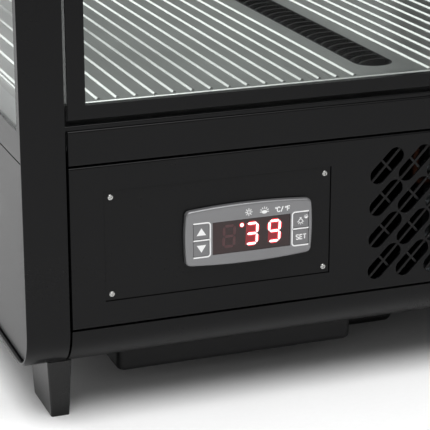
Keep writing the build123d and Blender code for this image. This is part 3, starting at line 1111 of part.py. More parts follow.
with BuildPart() as door_frame:
    with Locations((0, DOOR_FACE, DOOR_Z)):
        Box(DOOR_WIDTH, DOOR_DEPTH, DOOR_HEIGHT, align=FRONT_ALIGN)
    fillet(door_frame.faces().sort_by(Axis.Y)[0].edges(), radius=EDGE_ROUND)
    with Locations((0, DOOR_FACE, OPENING_Z)):
        Box(OPENING_WIDTH, DOOR_DEPTH, OPENING_HEIGHT, align=FRONT_ALIGN, mode=Mode.SUBTRACT)
    with Locations((0, GLAZING_FACE, OPENING_Z)):
        Box(OPENING_WIDTH + 2 * REBATE, DOOR_DEPTH, OPENING_HEIGHT + 2 * REBATE, align=FRONT_ALIGN,
            mode=Mode.SUBTRACT)
    with Locations((PIN_X, PIN_Y, DOOR_BOTTOM)):
        Cylinder(BUSH_RADIUS, BUSH_LENGTH, align=BOTTOM_ALIGN, mode=Mode.SUBTRACT)
    with Locations((PIN_X, PIN_Y, DOOR_TOP - BUSH_LENGTH)):
        Cylinder(BUSH_RADIUS, BUSH_LENGTH, align=BOTTOM_ALIGN, mode=Mode.SUBTRACT)
door_frame.part.label = "door_frame"
export_step(door_frame.part, "parts/door_frame.step")

with BuildPart() as door_glass:
    with Locations((0, GLAZING_FACE, OPENING_Z)):
        Box(OPENING_WIDTH + 2 * (REBATE - PANE_CLEARANCE), GLASS,
            OPENING_HEIGHT + 2 * (REBATE - PANE_CLEARANCE), align=FRONT_ALIGN)
door_glass.part.label = "door_glass"
export_step(door_glass.part, "parts/door_glass.step")

with BuildPart() as door_gasket:
    with Locations((0, DOOR_FACE + DOOR_DEPTH, DOOR_Z)):
        Box(DOOR_WIDTH - 2 * GASKET_INSET, GASKET_DEPTH, DOOR_HEIGHT - 2 * GASKET_END_INSET,
            align=FRONT_ALIGN)
        Box(DOOR_WIDTH - 2 * (GASKET_INSET + GASKET_WIDTH), GASKET_DEPTH,
            DOOR_HEIGHT - 2 * (GASKET_END_INSET + GASKET_FOOT), align=FRONT_ALIGN, mode=Mode.SUBTRACT)
door_gasket.part.label = "door_gasket"
export_step(door_gasket.part, "parts/door_gasket.step")

HANDLE_X = -DOOR_WIDTH / 2 + STILE / 2
HANDLE_REACH = HANDLE_PROUD + DOOR_RECESS
HANDLE_MID_Y = DOOR_FACE - HANDLE_REACH / 2

with BuildPart() as door_handle:
    with BuildSketch(Plane.YZ.offset(HANDLE_X - HANDLE_WIDTH / 2)) as grip:
        with Locations((HANDLE_MID_Y, HANDLE_HEIGHT)):
            Rectangle(HANDLE_REACH, HANDLE_LENGTH)
        fillet(grip.vertices().group_by(Axis.X)[0], radius=HANDLE_BEND)
    extrude(amount=HANDLE_WIDTH)
    with BuildSketch(Plane.YZ.offset(HANDLE_X - HANDLE_WIDTH / 2)) as gap:
        with Locations((HANDLE_MID_Y + HANDLE_BAR / 2, HANDLE_HEIGHT)):
            Rectangle(HANDLE_REACH - HANDLE_BAR, HANDLE_LENGTH - 2 * HANDLE_BAR)
        fillet(gap.vertices().group_by(Axis.X)[0], radius=HANDLE_INNER_BEND)
    extrude(amount=HANDLE_WIDTH, mode=Mode.SUBTRACT)
    fillet(door_handle.edges().group_by(Axis.Y)[0], radius=HANDLE_EDGE)
door_handle.part.label = "door_handle"
export_step(door_handle.part, "parts/door_handle.step")

PIN_LENGTH = SILL_THICKNESS + DOOR_GAP + BUSH_LENGTH - PIN_END_GAP

with BuildPart() as hinge_pins:
    with Locations((PIN_X, PIN_Y, FASCIA_TOP)):
        Cylinder(PIN_RADIUS, PIN_LENGTH, align=BOTTOM_ALIGN)
    with Locations((PIN_X, PIN_Y, SILL_TOP)):
        Cylinder(PIN_RADIUS + COLLAR_WIDTH, DOOR_GAP - THRUST_GAP, align=BOTTOM_ALIGN)
    with Locations((PIN_X, PIN_Y, HEADER_BOTTOM + SILL_THICKNESS - PIN_LENGTH)):
        Cylinder(PIN_RADIUS, PIN_LENGTH, align=BOTTOM_ALIGN)
    with Locations((PIN_X, PIN_Y, DOOR_TOP + THRUST_GAP)):
        Cylinder(PIN_RADIUS + COLLAR_WIDTH, DOOR_GAP - THRUST_GAP, align=BOTTOM_ALIGN)
hinge_pins.part.label = "hinge_pins"
export_step(hinge_pins.part, "parts/hinge_pins.step")

with BuildPart() as hinge_bushes:
    with Locations((PIN_X, PIN_Y, DOOR_BOTTOM), (PIN_X, PIN_Y, DOOR_TOP - BUSH_LENGTH)):
        Cylinder(BUSH_RADIUS, BUSH_LENGTH, align=BOTTOM_ALIGN)
        Cylinder(PIN_RADIUS + PIN_CLEARANCE, BUSH_LENGTH, align=BOTTOM_ALIGN, mode=Mode.SUBTRACT)
hinge_bushes.part.label = "hinge_bushes"
export_step(hinge_bushes.part, "parts/hinge_bushes.step")


# ---------------------------------------------------------------- shelves, standards and clips
STANDARD_X = WIDTH / 2 - FLANGE_INSIDE - STANDARD_GAP - STANDARD_WIDTH / 2
STANDARD_Y = DEPTH / 2 - BAND_WALL - STANDARD_THICKNESS / 2
STANDARD_TOP = HEADER_BOTTOM - STANDARD_TOP_GAP
STANDARD_BOTTOM = SILL_TOP + STANDARD_FOOT_GAP
STANDARD_SLOTS = int((STANDARD_TOP - STANDARD_BOTTOM) // STANDARD_PITCH) - 1

with BuildPart() as shelf_standards:
    with Locations((0, MID_Y, STANDARD_BOTTOM)):
        with GridLocations(2 * STANDARD_X, 2 * STANDARD_Y, 2, 2):
            Box(STANDARD_WIDTH, STANDARD_THICKNESS, STANDARD_TOP - STANDARD_BOTTOM, align=BOTTOM_ALIGN)
    with BuildSketch(Plane.XZ.offset(-REAR)):
        with Locations((0, (STANDARD_TOP + STANDARD_BOTTOM) / 2)):
            with GridLocations(2 * STANDARD_X, STANDARD_PITCH, 2, STANDARD_SLOTS):
                Rectangle(STANDARD_SLOT_WIDTH, STANDARD_SLOT_HEIGHT)
    extrude(amount=DEPTH, mode=Mode.SUBTRACT)
shelf_standards.part.label = "shelf_standards"
export_step(shelf_standards.part, "parts/shelf_standards.step")

SHELF_SETBACK = DECK_SETBACK + SHELF_CLEARANCE
SHELF_WIDTH = WIDTH - 2 * (FLANGE_INSIDE + SHELF_SIDE_GAP) - SHELF_RIM
SHELF_DEPTH = DEPTH - 2 * SHELF_SETBACK - SHELF_RIM
CLIP_START = BAND_WALL + STANDARD_THICKNESS
CLIP_LENGTH = SHELF_SETBACK + SHELF_RIM + CLIP_REACH - CLIP_START
CLIP_Y = DEPTH / 2 - CLIP_START - CLIP_LENGTH / 2
CLIP_HOOK_Y = DEPTH / 2 - CLIP_START - CLIP_THICKNESS / 2
CLIP_TOPS = [height - SHELF_RIM / 2 - SHELF_REST_GAP for height in SHELF_HEIGHTS.values()]

with BuildPart() as shelf_clips:
    for clip_top in CLIP_TOPS:
        with Locations((0, MID_Y, clip_top)):
            with GridLocations(2 * STANDARD_X, 2 * CLIP_Y, 2, 2):
                Box(CLIP_WIDTH, CLIP_LENGTH, CLIP_THICKNESS, align=HANGING_ALIGN)
            with GridLocations(2 * STANDARD_X, 2 * CLIP_HOOK_Y, 2, 2):
                Box(CLIP_WIDTH, CLIP_THICKNESS, CLIP_HOOK, align=HANGING_ALIGN)
shelf_clips.part.label = "shelf_clips"
export_step(shelf_clips.part, "parts/shelf_clips.step")

SHELF_WIRES = int((SHELF_WIDTH - SHELF_PITCH) // SHELF_PITCH)

for shelf_name, shelf_z in SHELF_HEIGHTS.items():
    corners = [(x * SHELF_WIDTH / 2, MID_Y + y * SHELF_DEPTH / 2, shelf_z)
               for x, y in ((-1, -1), (1, -1), (1, 1), (-1, 1))]
    with BuildPart() as shelf:
        with BuildLine() as rim:
            FilletPolyline(*corners, radius=SHELF_CORNER, close=True)
        rim_wire = rim.wires()[0]
        with BuildSketch(Plane(origin=rim_wire @ 0, z_dir=rim_wire % 0)):
            Circle(SHELF_RIM / 2)
        sweep(path=rim_wire)
        with BuildSketch(Plane.XZ.offset(-(MID_Y - SHELF_DEPTH / 2))):
            with Locations((0, shelf_z)):
                with GridLocations(SHELF_PITCH, 1, SHELF_WIRES, 1):
                    Circle(SHELF_WIRE / 2)
        extrude(amount=-SHELF_DEPTH)
    shelf.part.label = f"shelf_{shelf_name}"
    export_step(shelf.part, f"parts/shelf_{shelf_name}.step")
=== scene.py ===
"""Looks of a glazed countertop refrigerated display case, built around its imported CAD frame."""
import json
import logging
import math
from dataclasses import dataclass
from enum import Enum
from typing import Any, Sequence

import bmesh
import bpy
import numpy as np
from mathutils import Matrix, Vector


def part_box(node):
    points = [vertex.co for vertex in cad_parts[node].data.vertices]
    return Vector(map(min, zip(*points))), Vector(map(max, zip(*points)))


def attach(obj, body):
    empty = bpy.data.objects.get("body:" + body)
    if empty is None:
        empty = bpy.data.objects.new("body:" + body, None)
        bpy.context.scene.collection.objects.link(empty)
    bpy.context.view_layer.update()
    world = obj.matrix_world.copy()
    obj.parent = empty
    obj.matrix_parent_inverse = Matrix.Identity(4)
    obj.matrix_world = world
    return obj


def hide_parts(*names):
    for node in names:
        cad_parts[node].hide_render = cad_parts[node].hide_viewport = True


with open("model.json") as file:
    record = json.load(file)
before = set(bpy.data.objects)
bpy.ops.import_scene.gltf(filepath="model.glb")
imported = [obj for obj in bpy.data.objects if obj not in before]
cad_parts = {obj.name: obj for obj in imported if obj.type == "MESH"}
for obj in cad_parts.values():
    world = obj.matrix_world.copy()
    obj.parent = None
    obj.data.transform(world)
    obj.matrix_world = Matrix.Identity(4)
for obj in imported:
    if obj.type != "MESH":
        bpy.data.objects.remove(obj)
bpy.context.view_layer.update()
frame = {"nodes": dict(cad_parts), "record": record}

logging.basicConfig(level=logging.INFO, format="%(levelname)s %(message)s")
LOG = logging.getLogger("display_case")
MM = 0.001
Array = np.ndarray


# ------------------------------------------------------------------ colours and nodes
def linear(hex_code: str) -> tuple[float, float, float, float]:
    """Turn an sRGB hex colour into linear light.

    Args:
        hex_code: Six hex digits, such as "1a2b3c".

    Returns:
        Linear red, green and blue with an alpha of one.
    """
    values = np.array([int(hex_code[i:i + 2], 16) for i in (0, 2, 4)]) / 255.0
    light = np.where(values <= 0.04045, values / 12.92, ((values + 0.055) / 1.055) ** 2.4)
    return float(light[0]), float(light[1]), float(light[2]), 1.0


def per_mm(size_mm: float) -> float:
    """Noise scale whose features are about size_mm wide on Object coordinates in metres."""
    return 1.0 / (size_mm * MM)


def add_node(tree: bpy.types.NodeTree, kind: str, values: dict[str | int, Any] | None = None,
             links: dict[str | int, bpy.types.NodeSocket] | None = None, **attributes: Any) -> bpy.types.Node:
    """Add one shader node.

    Args:
        tree: Node tree that gets the node.
        kind: Blender's node type name.
        values: Constant for each named or numbered input.
        links: Source socket for each named or numbered input.
        **attributes: Plain properties of the node.

    Returns:
        The new node.
    """
    node = tree.nodes.new(kind)
    for name, value in attributes.items():
        setattr(node, name, value)
    for name, value in (values or {}).items():
        node.inputs[name].default_value = value
    for name, socket in (links or {}).items():
        tree.links.new(socket, node.inputs[name])
    return node


class Grain(Enum):
    """How a finish's small relief lies."""

    SPECKLE = "speckle"
    BRUSHED_Y = "brushed along the depth"


STRETCH = {
    Grain.SPECKLE: (1.0, 1.0, 1.0),
    Grain.BRUSHED_Y: (1.0, 0.02, 1.0),
}


@dataclass(frozen=True)
class Finish:
    """A surface finish whose roughness, tone and relief vary at real sizes.

    Attributes:
        name: What the surface is.
        light: Hex colour of the paler areas.
        dark: Hex colour of the darker areas.
        rough: Lowest and highest roughness.
        grain_mm: Width of the fine relief.
        relief_mm: Depth of the fine relief.
        cloud_mm: Width of the slow tone changes.
        grain: How the relief lies.
        metallic: Share of metal.
        ior: Index of refraction, or None for the default.
        glow: Hex colour given out, or None.
        glow_strength: Strength of that light.
    """

    name: str
    light: str
    dark: str
    rough: tuple[float, float]
    grain_mm: float = 1.2
    relief_mm: float = 0.01
    cloud_mm: float = 60.0
    grain: Grain = Grain.SPECKLE
    metallic: float = 0.0
    ior: float | None = None
    glow: str | None = None
    glow_strength: float = 0.0

    def build(self) -> bpy.types.Material:
        """Make the material, or fetch it if it is there already.

        Returns:
            The finished material.
        """
        found = bpy.data.materials.get(self.name)
        if found:
            return found
        material = bpy.data.materials.new(self.name)
        material.use_nodes = True
        tree = material.node_tree
        tree.nodes.clear()
        place = add_node(tree, "ShaderNodeTexCoord").outputs["Object"]
        stretched = add_node(tree, "ShaderNodeMapping", {"Scale": STRETCH[self.grain]}, {"Vector": place})
        fine = add_node(tree, "ShaderNodeTexNoise",
                        {"Scale": per_mm(self.grain_mm), "Detail": 3.0, "Roughness": 0.55},
                        {"Vector": stretched.outputs["Vector"]})
        cloud = add_node(tree, "ShaderNodeTexNoise", {"Scale": per_mm(self.cloud_mm), "Detail": 2.0},
                         {"Vector": place})
        blend = add_node(tree, "ShaderNodeMath", {1: 0.5}, {0: fine.outputs["Fac"]}, operation="MULTIPLY")
        both = add_node(tree, "ShaderNodeMath", {1: 0.5},
                        {0: cloud.outputs["Fac"], 2: blend.outputs["Value"]}, operation="MULTIPLY_ADD")
        spread = add_node(tree, "ShaderNodeMapRange", {"From Min": 0.3, "From Max": 0.7},
                          {"Value": both.outputs["Value"]})
        tone = add_node(tree, "ShaderNodeMix", {6: linear(self.dark), 7: linear(self.light)},
                        {0: spread.outputs["Result"]}, data_type="RGBA")
        rough = add_node(tree, "ShaderNodeMapRange",
                         {"From Min": 0.3, "From Max": 0.7, "To Min": self.rough[0], "To Max": self.rough[1]},
                         {"Value": both.outputs["Value"]})
        bump = add_node(tree, "ShaderNodeBump", {"Strength": 1.0, "Distance": self.relief_mm * MM},
                        {"Height": fine.outputs["Fac"]})
        shader = add_node(tree, "ShaderNodeBsdfPrincipled", {"Metallic": self.metallic},
                          {"Base Color": tone.outputs[2], "Roughness": rough.outputs["Result"],
                           "Normal": bump.outputs["Normal"]})
        if self.ior is not None:
            shader.inputs["IOR"].default_value = self.ior
        if self.glow is not None:
            shader.inputs["Emission Color"].default_value = linear(self.glow)
            shader.inputs["Emission Strength"].default_value = self.glow_strength
        add_node(tree, "ShaderNodeOutputMaterial", links={"Surface": shader.outputs["BSDF"]})
        return material


@dataclass(frozen=True)
class ClearGlass:
    """Tempered pane with a faint green body and a low-reflection surface.

    Light passes straight through it, so only the face where it enters mirrors: on the way out the same
    index would mirror everything at a shallow angle.

    Attributes:
        name: What the surface is.
        tint: Hex colour of what passes through one face.
        ior: Index that sets how much each face mirrors.
    """

    name: str = "clear_tempered_glass"
    tint: str = "fbfdfc"
    ior: float = 1.2

    def build(self) -> bpy.types.Material:
        """Make the material, or fetch it if it is there already.

        Returns:
            Glass that is seen through and mirrors a little at its faces.
        """
        found = bpy.data.materials.get(self.name)
        if found:
            return found
        material = bpy.data.materials.new(self.name)
        material.use_nodes = True
        tree = material.node_tree
        tree.nodes.clear()
        place = add_node(tree, "ShaderNodeTexCoord").outputs["Object"]
        film = add_node(tree, "ShaderNodeTexNoise", {"Scale": per_mm(90.0), "Detail": 2.0}, {"Vector": place})
        rough = add_node(tree, "ShaderNodeMapRange", {"To Min": 0.0, "To Max": 0.02},
                         {"Value": film.outputs["Fac"]})
        mirror = add_node(tree, "ShaderNodeBsdfGlossy", {"Color": linear("ffffff")},
                          {"Roughness": rough.outputs["Result"]})
        clear = add_node(tree, "ShaderNodeBsdfTransparent", {"Color": linear(self.tint)})
        edge = add_node(tree, "ShaderNodeFresnel", {"IOR": self.ior})
        leaving = add_node(tree, "ShaderNodeNewGeometry").outputs["Backfacing"]
        entering = add_node(tree, "ShaderNodeMath", {0: 1.0}, {1: leaving}, operation="SUBTRACT")
        share = add_node(tree, "ShaderNodeMath", links={0: edge.outputs["Fac"], 1: entering.outputs["Value"]},
                         operation="MULTIPLY")
        mixed = add_node(tree, "ShaderNodeMixShader", links={
            0: share.outputs["Value"], 1: clear.outputs["BSDF"], 2: mirror.outputs["BSDF"]})
        add_node(tree, "ShaderNodeOutputMaterial", links={"Surface": mixed.outputs["Shader"]})
        return material


# Semi-gloss polyester powder coat: near black, faint orange peel, mirrors at grazing angles.
POWDER_COAT = Finish("semi_gloss_black_powder_coat", "0c0c0d", "080809", (0.22, 0.28), grain_mm=1.6,
                     relief_mm=0.003, ior=1.25)
# Moulded polypropylene: black with a soft satin grain.
BLACK_PLASTIC = Finish("moulded_satin_black_plastic", "0d0d0e", "09090a", (0.42, 0.55), grain_mm=0.7,
                       relief_mm=0.008, ior=1.3)
# Black baked enamel on the machine parts: duller than the cabinet's coat.
MACHINE_ENAMEL = Finish("baked_black_enamel", "0c0c0c", "080808", (0.35, 0.5), grain_mm=1.5, relief_mm=0.01,
                        ior=1.3)
# Stainless sheet, brushed along the ribs: bright, with fine lines drawn coarse enough to show.
DECK_STEEL = Finish("brushed_stainless_sheet", "c9c9c8", "a9a9a8", (0.26, 0.38), grain_mm=0.5,
                    relief_mm=0.004, grain=Grain.BRUSHED_Y, metallic=1.0)
# Bright nickel chrome on wire: mirror-like with slight ripple.
CHROME_WIRE = Finish("bright_chrome_wire", "dcdcde", "c4c4c8", (0.06, 0.12), grain_mm=4.0, relief_mm=0.004,
                     metallic=1.0)
# Silver lacquer on ABS: grey with a fine metallic sparkle.
SILVER_LACQUER = Finish("silver_lacquered_abs", "848485", "78787a", (0.32, 0.42), grain_mm=0.35,
                        relief_mm=0.004, metallic=0.55)
# Printed polyester key film: grey, flatter than the lacquer round it.
KEY_FILM = Finish("printed_key_film", "7c7c7d", "727274", (0.4, 0.5), grain_mm=0.4, relief_mm=0.003,
                  metallic=0.45)
# Soft PVC seal: dull black.
SEAL = Finish("soft_pvc_seal", "1a1a1a", "111111", (0.6, 0.75), grain_mm=0.8, relief_mm=0.01)
# White steel liner over foam: low-gloss white.
LINER = Finish("white_coated_liner", "d8d9da", "c8c9ca", (0.4, 0.5), grain_mm=2.0, relief_mm=0.006)
# Mill-finish aluminium fins: dull silver, with rolling marks too fine to show one by one.
FIN_STOCK = Finish("mill_aluminium_fins", "b8bcc0", "9a9ea2", (0.35, 0.5), grain_mm=1.0, relief_mm=0.01,
                   metallic=1.0)
# Drawn copper tube, brazed: a copper brown darkened nearly to black as painted shade, standing in for the
# shade inside the machine compartment.
COPPER = Finish("copper_tube_darkened_as_painted_shade", "3a2219", "24150f", (0.4, 0.6), grain_mm=3.0, relief_mm=0.01,
                metallic=1.0)
# Opal polycarbonate over the light strip: soft white, lit from inside.
OPAL = Finish("opal_polycarbonate", "f4f4f0", "ecece8", (0.4, 0.5), glow="fff6e6", glow_strength=1.6)
# Zinc-plated steel screws: pale, with a faint crystalline grain.
ZINC = Finish("zinc_plated_steel", "c8c8c6", "a2a2a0", (0.2, 0.32), grain_mm=0.6, relief_mm=0.01,
              metallic=1.0)
# Solder mask over glass-epoxy board: glossy green.
BOARD = Finish("green_solder_mask", "1d5b35", "164828", (0.3, 0.4), grain_mm=1.0, relief_mm=0.02)
# Smoked red acrylic over the read-out: glossy and nearly black, with a brown cast.
SMOKED_ACRYLIC = Finish("smoked_red_acrylic", "2a0808", "1c0404", (0.08, 0.12), grain_mm=3.0,
                        relief_mm=0.001)
# White screen ink: flat and clean.
WHITE_INK = Finish("white_screen_ink", "f4f4f4", "e6e6e6", (0.5, 0.6), grain_mm=0.5, relief_mm=0.002)
# A segment that is off: slightly paler than the acrylic over it.
UNLIT_SEGMENT = Finish("unlit_read_out_segment", "4c2a2c", "402224", (0.3, 0.4), grain_mm=1.0,
                       relief_mm=0.001)
# Dim red light that spreads inside the acrylic between the lit segments.
RED_GLOW = Finish("red_glow_in_acrylic", "300808", "240606", (0.3, 0.4), glow="8a1420", glow_strength=0.9)
# The bright red edge of a lit segment.
RED_LIGHT = Finish("red_light_round_segment", "500808", "400606", (0.3, 0.4), glow="ff1f2e",
                   glow_strength=1.0)
# The middle of a lit segment, bright enough to look white.
WHITE_HOT = Finish("lit_segment", "fff0f0", "ffe8e8", (0.3, 0.4), glow="fff0f0", glow_strength=1.1)
# Tempered float glass: clear, faintly green, mirrors more towards grazing angles.
GLASS = ClearGlass()
# Moulded polyamide feet: black, a little glossier than the other plastic.
FOOT_PLASTIC = Finish("moulded_glossy_black_polyamide", "090909", "070707", (0.26, 0.34), grain_mm=0.9,
                      relief_mm=0.004, ior=1.4)
NODE_FINISH: dict[str, Finish] = {"feet": FOOT_PLASTIC}
SLOT_FINISH: dict[str, Finish | ClearGlass] = {
    "black_coat": POWDER_COAT, "black_plastic": BLACK_PLASTIC, "machine_black": MACHINE_ENAMEL,
    "deck_steel": DECK_STEEL, "chrome_wire": CHROME_WIRE, "silver_plastic": SILVER_LACQUER,
    "button_film": KEY_FILM, "gasket_rubber": SEAL, "foam_liner": LINER, "fin_aluminium": FIN_STOCK,
    "copper_line": COPPER, "light_lens": OPAL, "bright_screw": ZINC, "circuit_board": BOARD,
    "display_tint": SMOKED_ACRYLIC, "clear_glass": GLASS,
}


def dress_cad_nodes() -> None:
    """Give each CAD node its own finish, or that of its material slot."""
    for row in frame["record"]["subparts"]:
        node = frame["nodes"][row["node"]]
        finish = NODE_FINISH.get(row["node"], SLOT_FINISH[row["material_slot"]]).build()
        node.data.materials.clear()
        node.data.materials.append(finish)
        LOG.info("node %s wears %s", row["node"], finish.name)


# ------------------------------------------------------------------ shapes
@dataclass
class Shape:
    """Closed surfaces as points in millimetres and faces over them.

    Attributes:
        points: One row of x, y, z per point.
        faces: Point numbers round each face.
    """

    points: Array
    faces: list[list[int]]

    def moved(self, place: Sequence[float]) -> "Shape":
        """Return the shape shifted by place, in millimetres."""
        return Shape(self.points + np.asarray(place, dtype=float), self.faces)


def joined(shapes: Sequence[Shape]) -> Shape:
    """Put several shapes into one.

    Args:
        shapes: The shapes to put together.

    Returns:
        One shape with every point and face.
    """
    starts = np.cumsum([0] + [len(shape.points) for shape in shapes])
    faces = [[int(start) + corner for corner in face]
             for start, shape in zip(starts, shapes) for face in shape.faces]
    return Shape(np.concatenate([shape.points for shape in shapes]), faces)


def grid_faces(rows: int, columns: int, close_rows: bool = False,
               close_columns: bool = False) -> list[list[int]]:
    """Number the four-sided faces between neighbouring points of a grid.

    Args:
        rows: Points along the first parameter.
        columns: Points along the second parameter.
        close_rows: Whether the last row meets the first.
        close_columns: Whether the last column meets the first.

    Returns:
        The faces as lists of point numbers, row times columns plus column.
    """
    row = np.arange(rows if close_rows else rows - 1)[:, None]
    column = np.arange(columns if close_columns else columns - 1)[None, :]
    after, beside = (row + 1) % rows, (column + 1) % columns
    corners = (row * columns + column, row * columns + beside,
               after * columns + beside, after * columns + column)
    return np.stack(corners, axis=-1).reshape(-1, 4).tolist()


def capped_rings(rings: Array) -> Shape:
    """Close a stack of rings into a solid.

    Args:
        rings: Points by ring, place round the ring, and x, y, z.

    Returns:
        Faces between neighbouring rings, with the first and last ring filled.
    """
    rows, columns = rings.shape[:2]
    last = (rows - 1) * columns
    caps = [list(range(columns)), list(range(last, last + columns))]
    return Shape(rings.reshape(-1, 3), grid_faces(rows, columns, close_columns=True) + caps)


def slab(outline: Array, front: float, thickness: float) -> Shape:
    """Give a flat outline a thickness: x and z from the outline, y from front to front plus thickness.

    Args:
        outline: Rows of x and z, in millimetres.
        front: The y of its front face.
        thickness: How deep it goes behind that.

    Returns:
        The closed plate.
    """
    depth = np.array([front, front + thickness])[:, None] * np.ones(len(outline))
    flat = np.broadcast_to(outline, (2, *outline.shape))
    return capped_rings(np.stack((flat[..., 0], depth, flat[..., 1]), axis=-1))


def ellipse(centre: Sequence[float], radii: Sequence[float], steps: int = 24,
            arc: tuple[float, float] = (0.0, 360.0)) -> Array:
    """Points round an ellipse: the centre plus each radius times cosine and sine of the angle.

    Args:
        centre: Its x and z, in millimetres.
        radii: Its half sizes along x and z.
        steps: How many points.
        arc: First and last angle in degrees; a full turn leaves out the repeated point.

    Returns:
        Rows of x and z.
    """
    whole = math.isclose(arc[1] - arc[0], 360.0)
    angle = np.radians(np.linspace(arc[0], arc[1], steps, endpoint=not whole))
    return np.stack((centre[0] + radii[0] * np.cos(angle), centre[1] + radii[1] * np.sin(angle)), axis=-1)


def stroke(line: Array, width: float, front: float, thickness: float, close: bool = False) -> Shape:
    """Draw a line of even width: each point goes half the width to both sides along its mitre.

    The mitre is the unit normal of the corner over the cosine of half the turn.

    Args:
        line: Rows of x and z along the middle of the line.
        width: Width of the line, in millimetres.
        front: The y of its front face.
        thickness: How deep it goes behind that.
        close: Whether the last point joins the first.

    Returns:
        The line as a closed raised strip.
    """
    ahead = np.roll(line, -1, axis=0) - line
    ahead /= np.linalg.norm(ahead, axis=1, keepdims=True)
    behind = np.roll(ahead, 1, axis=0)
    if not close:
        ahead[-1] = behind[-1]
        behind[0] = ahead[0]
    normal_a = np.stack((-ahead[:, 1], ahead[:, 0]), axis=-1)
    normal_b = np.stack((-behind[:, 1], behind[:, 0]), axis=-1)
    mitre = normal_a + normal_b
    mitre /= np.maximum(np.sum(mitre * normal_a, axis=1, keepdims=True), 0.5)
    left, right = line + mitre * width / 2, line - mitre * width / 2
    back = front + thickness
    corners = ((left, front), (right, front), (right, back), (left, back))
    rings = np.stack([np.stack((side[:, 0], np.full(len(line), depth), side[:, 1]), axis=-1)
                      for side, depth in corners], axis=1)
    if close:
        return Shape(rings.reshape(-1, 3), grid_faces(len(line), 4, close_rows=True, close_columns=True))
    return capped_rings(rings)


def make_piece(name: str, shape: Shape, finish: "Finish", body: str,
               stands_for: Sequence[str] = ()) -> bpy.types.Object:
    """Turn a shape into a finished piece that rides on a body.

    Args:
        name: Name of the piece.
        shape: Its surface, in millimetres.
        finish: What it is made of.
        body: The CAD body it moves with.
        stands_for: CAD nodes that it replaces.

    Returns:
        The piece.
    """
    mesh = bpy.data.meshes.new(name)
    mesh.from_pydata((shape.points * MM).tolist(), [], shape.faces)
    work = bmesh.new()
    work.from_mesh(mesh)
    bmesh.ops.recalc_face_normals(work, faces=work.faces)
    work.to_mesh(mesh)
    work.free()
    mesh.materials.append(finish.build())
    piece = bpy.data.objects.new(name, mesh)
    bpy.context.scene.collection.objects.link(piece)
    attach(piece, body)
    if stands_for:
        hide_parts(*stands_for)
    LOG.info("piece %s: %d points, rides on %s", name, len(shape.points), body)
    return piece


def smooth(piece: bpy.types.Object) -> None:
    """Shade every face of a piece smoothly."""
    piece.data.polygons.foreach_set("use_smooth", [True] * len(piece.data.polygons))


def node_box(node: str) -> tuple[Array, Array]:
    """Return a CAD node's lowest and highest corners in millimetres."""
    low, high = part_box(node)
    return np.array(low) / MM, np.array(high) / MM


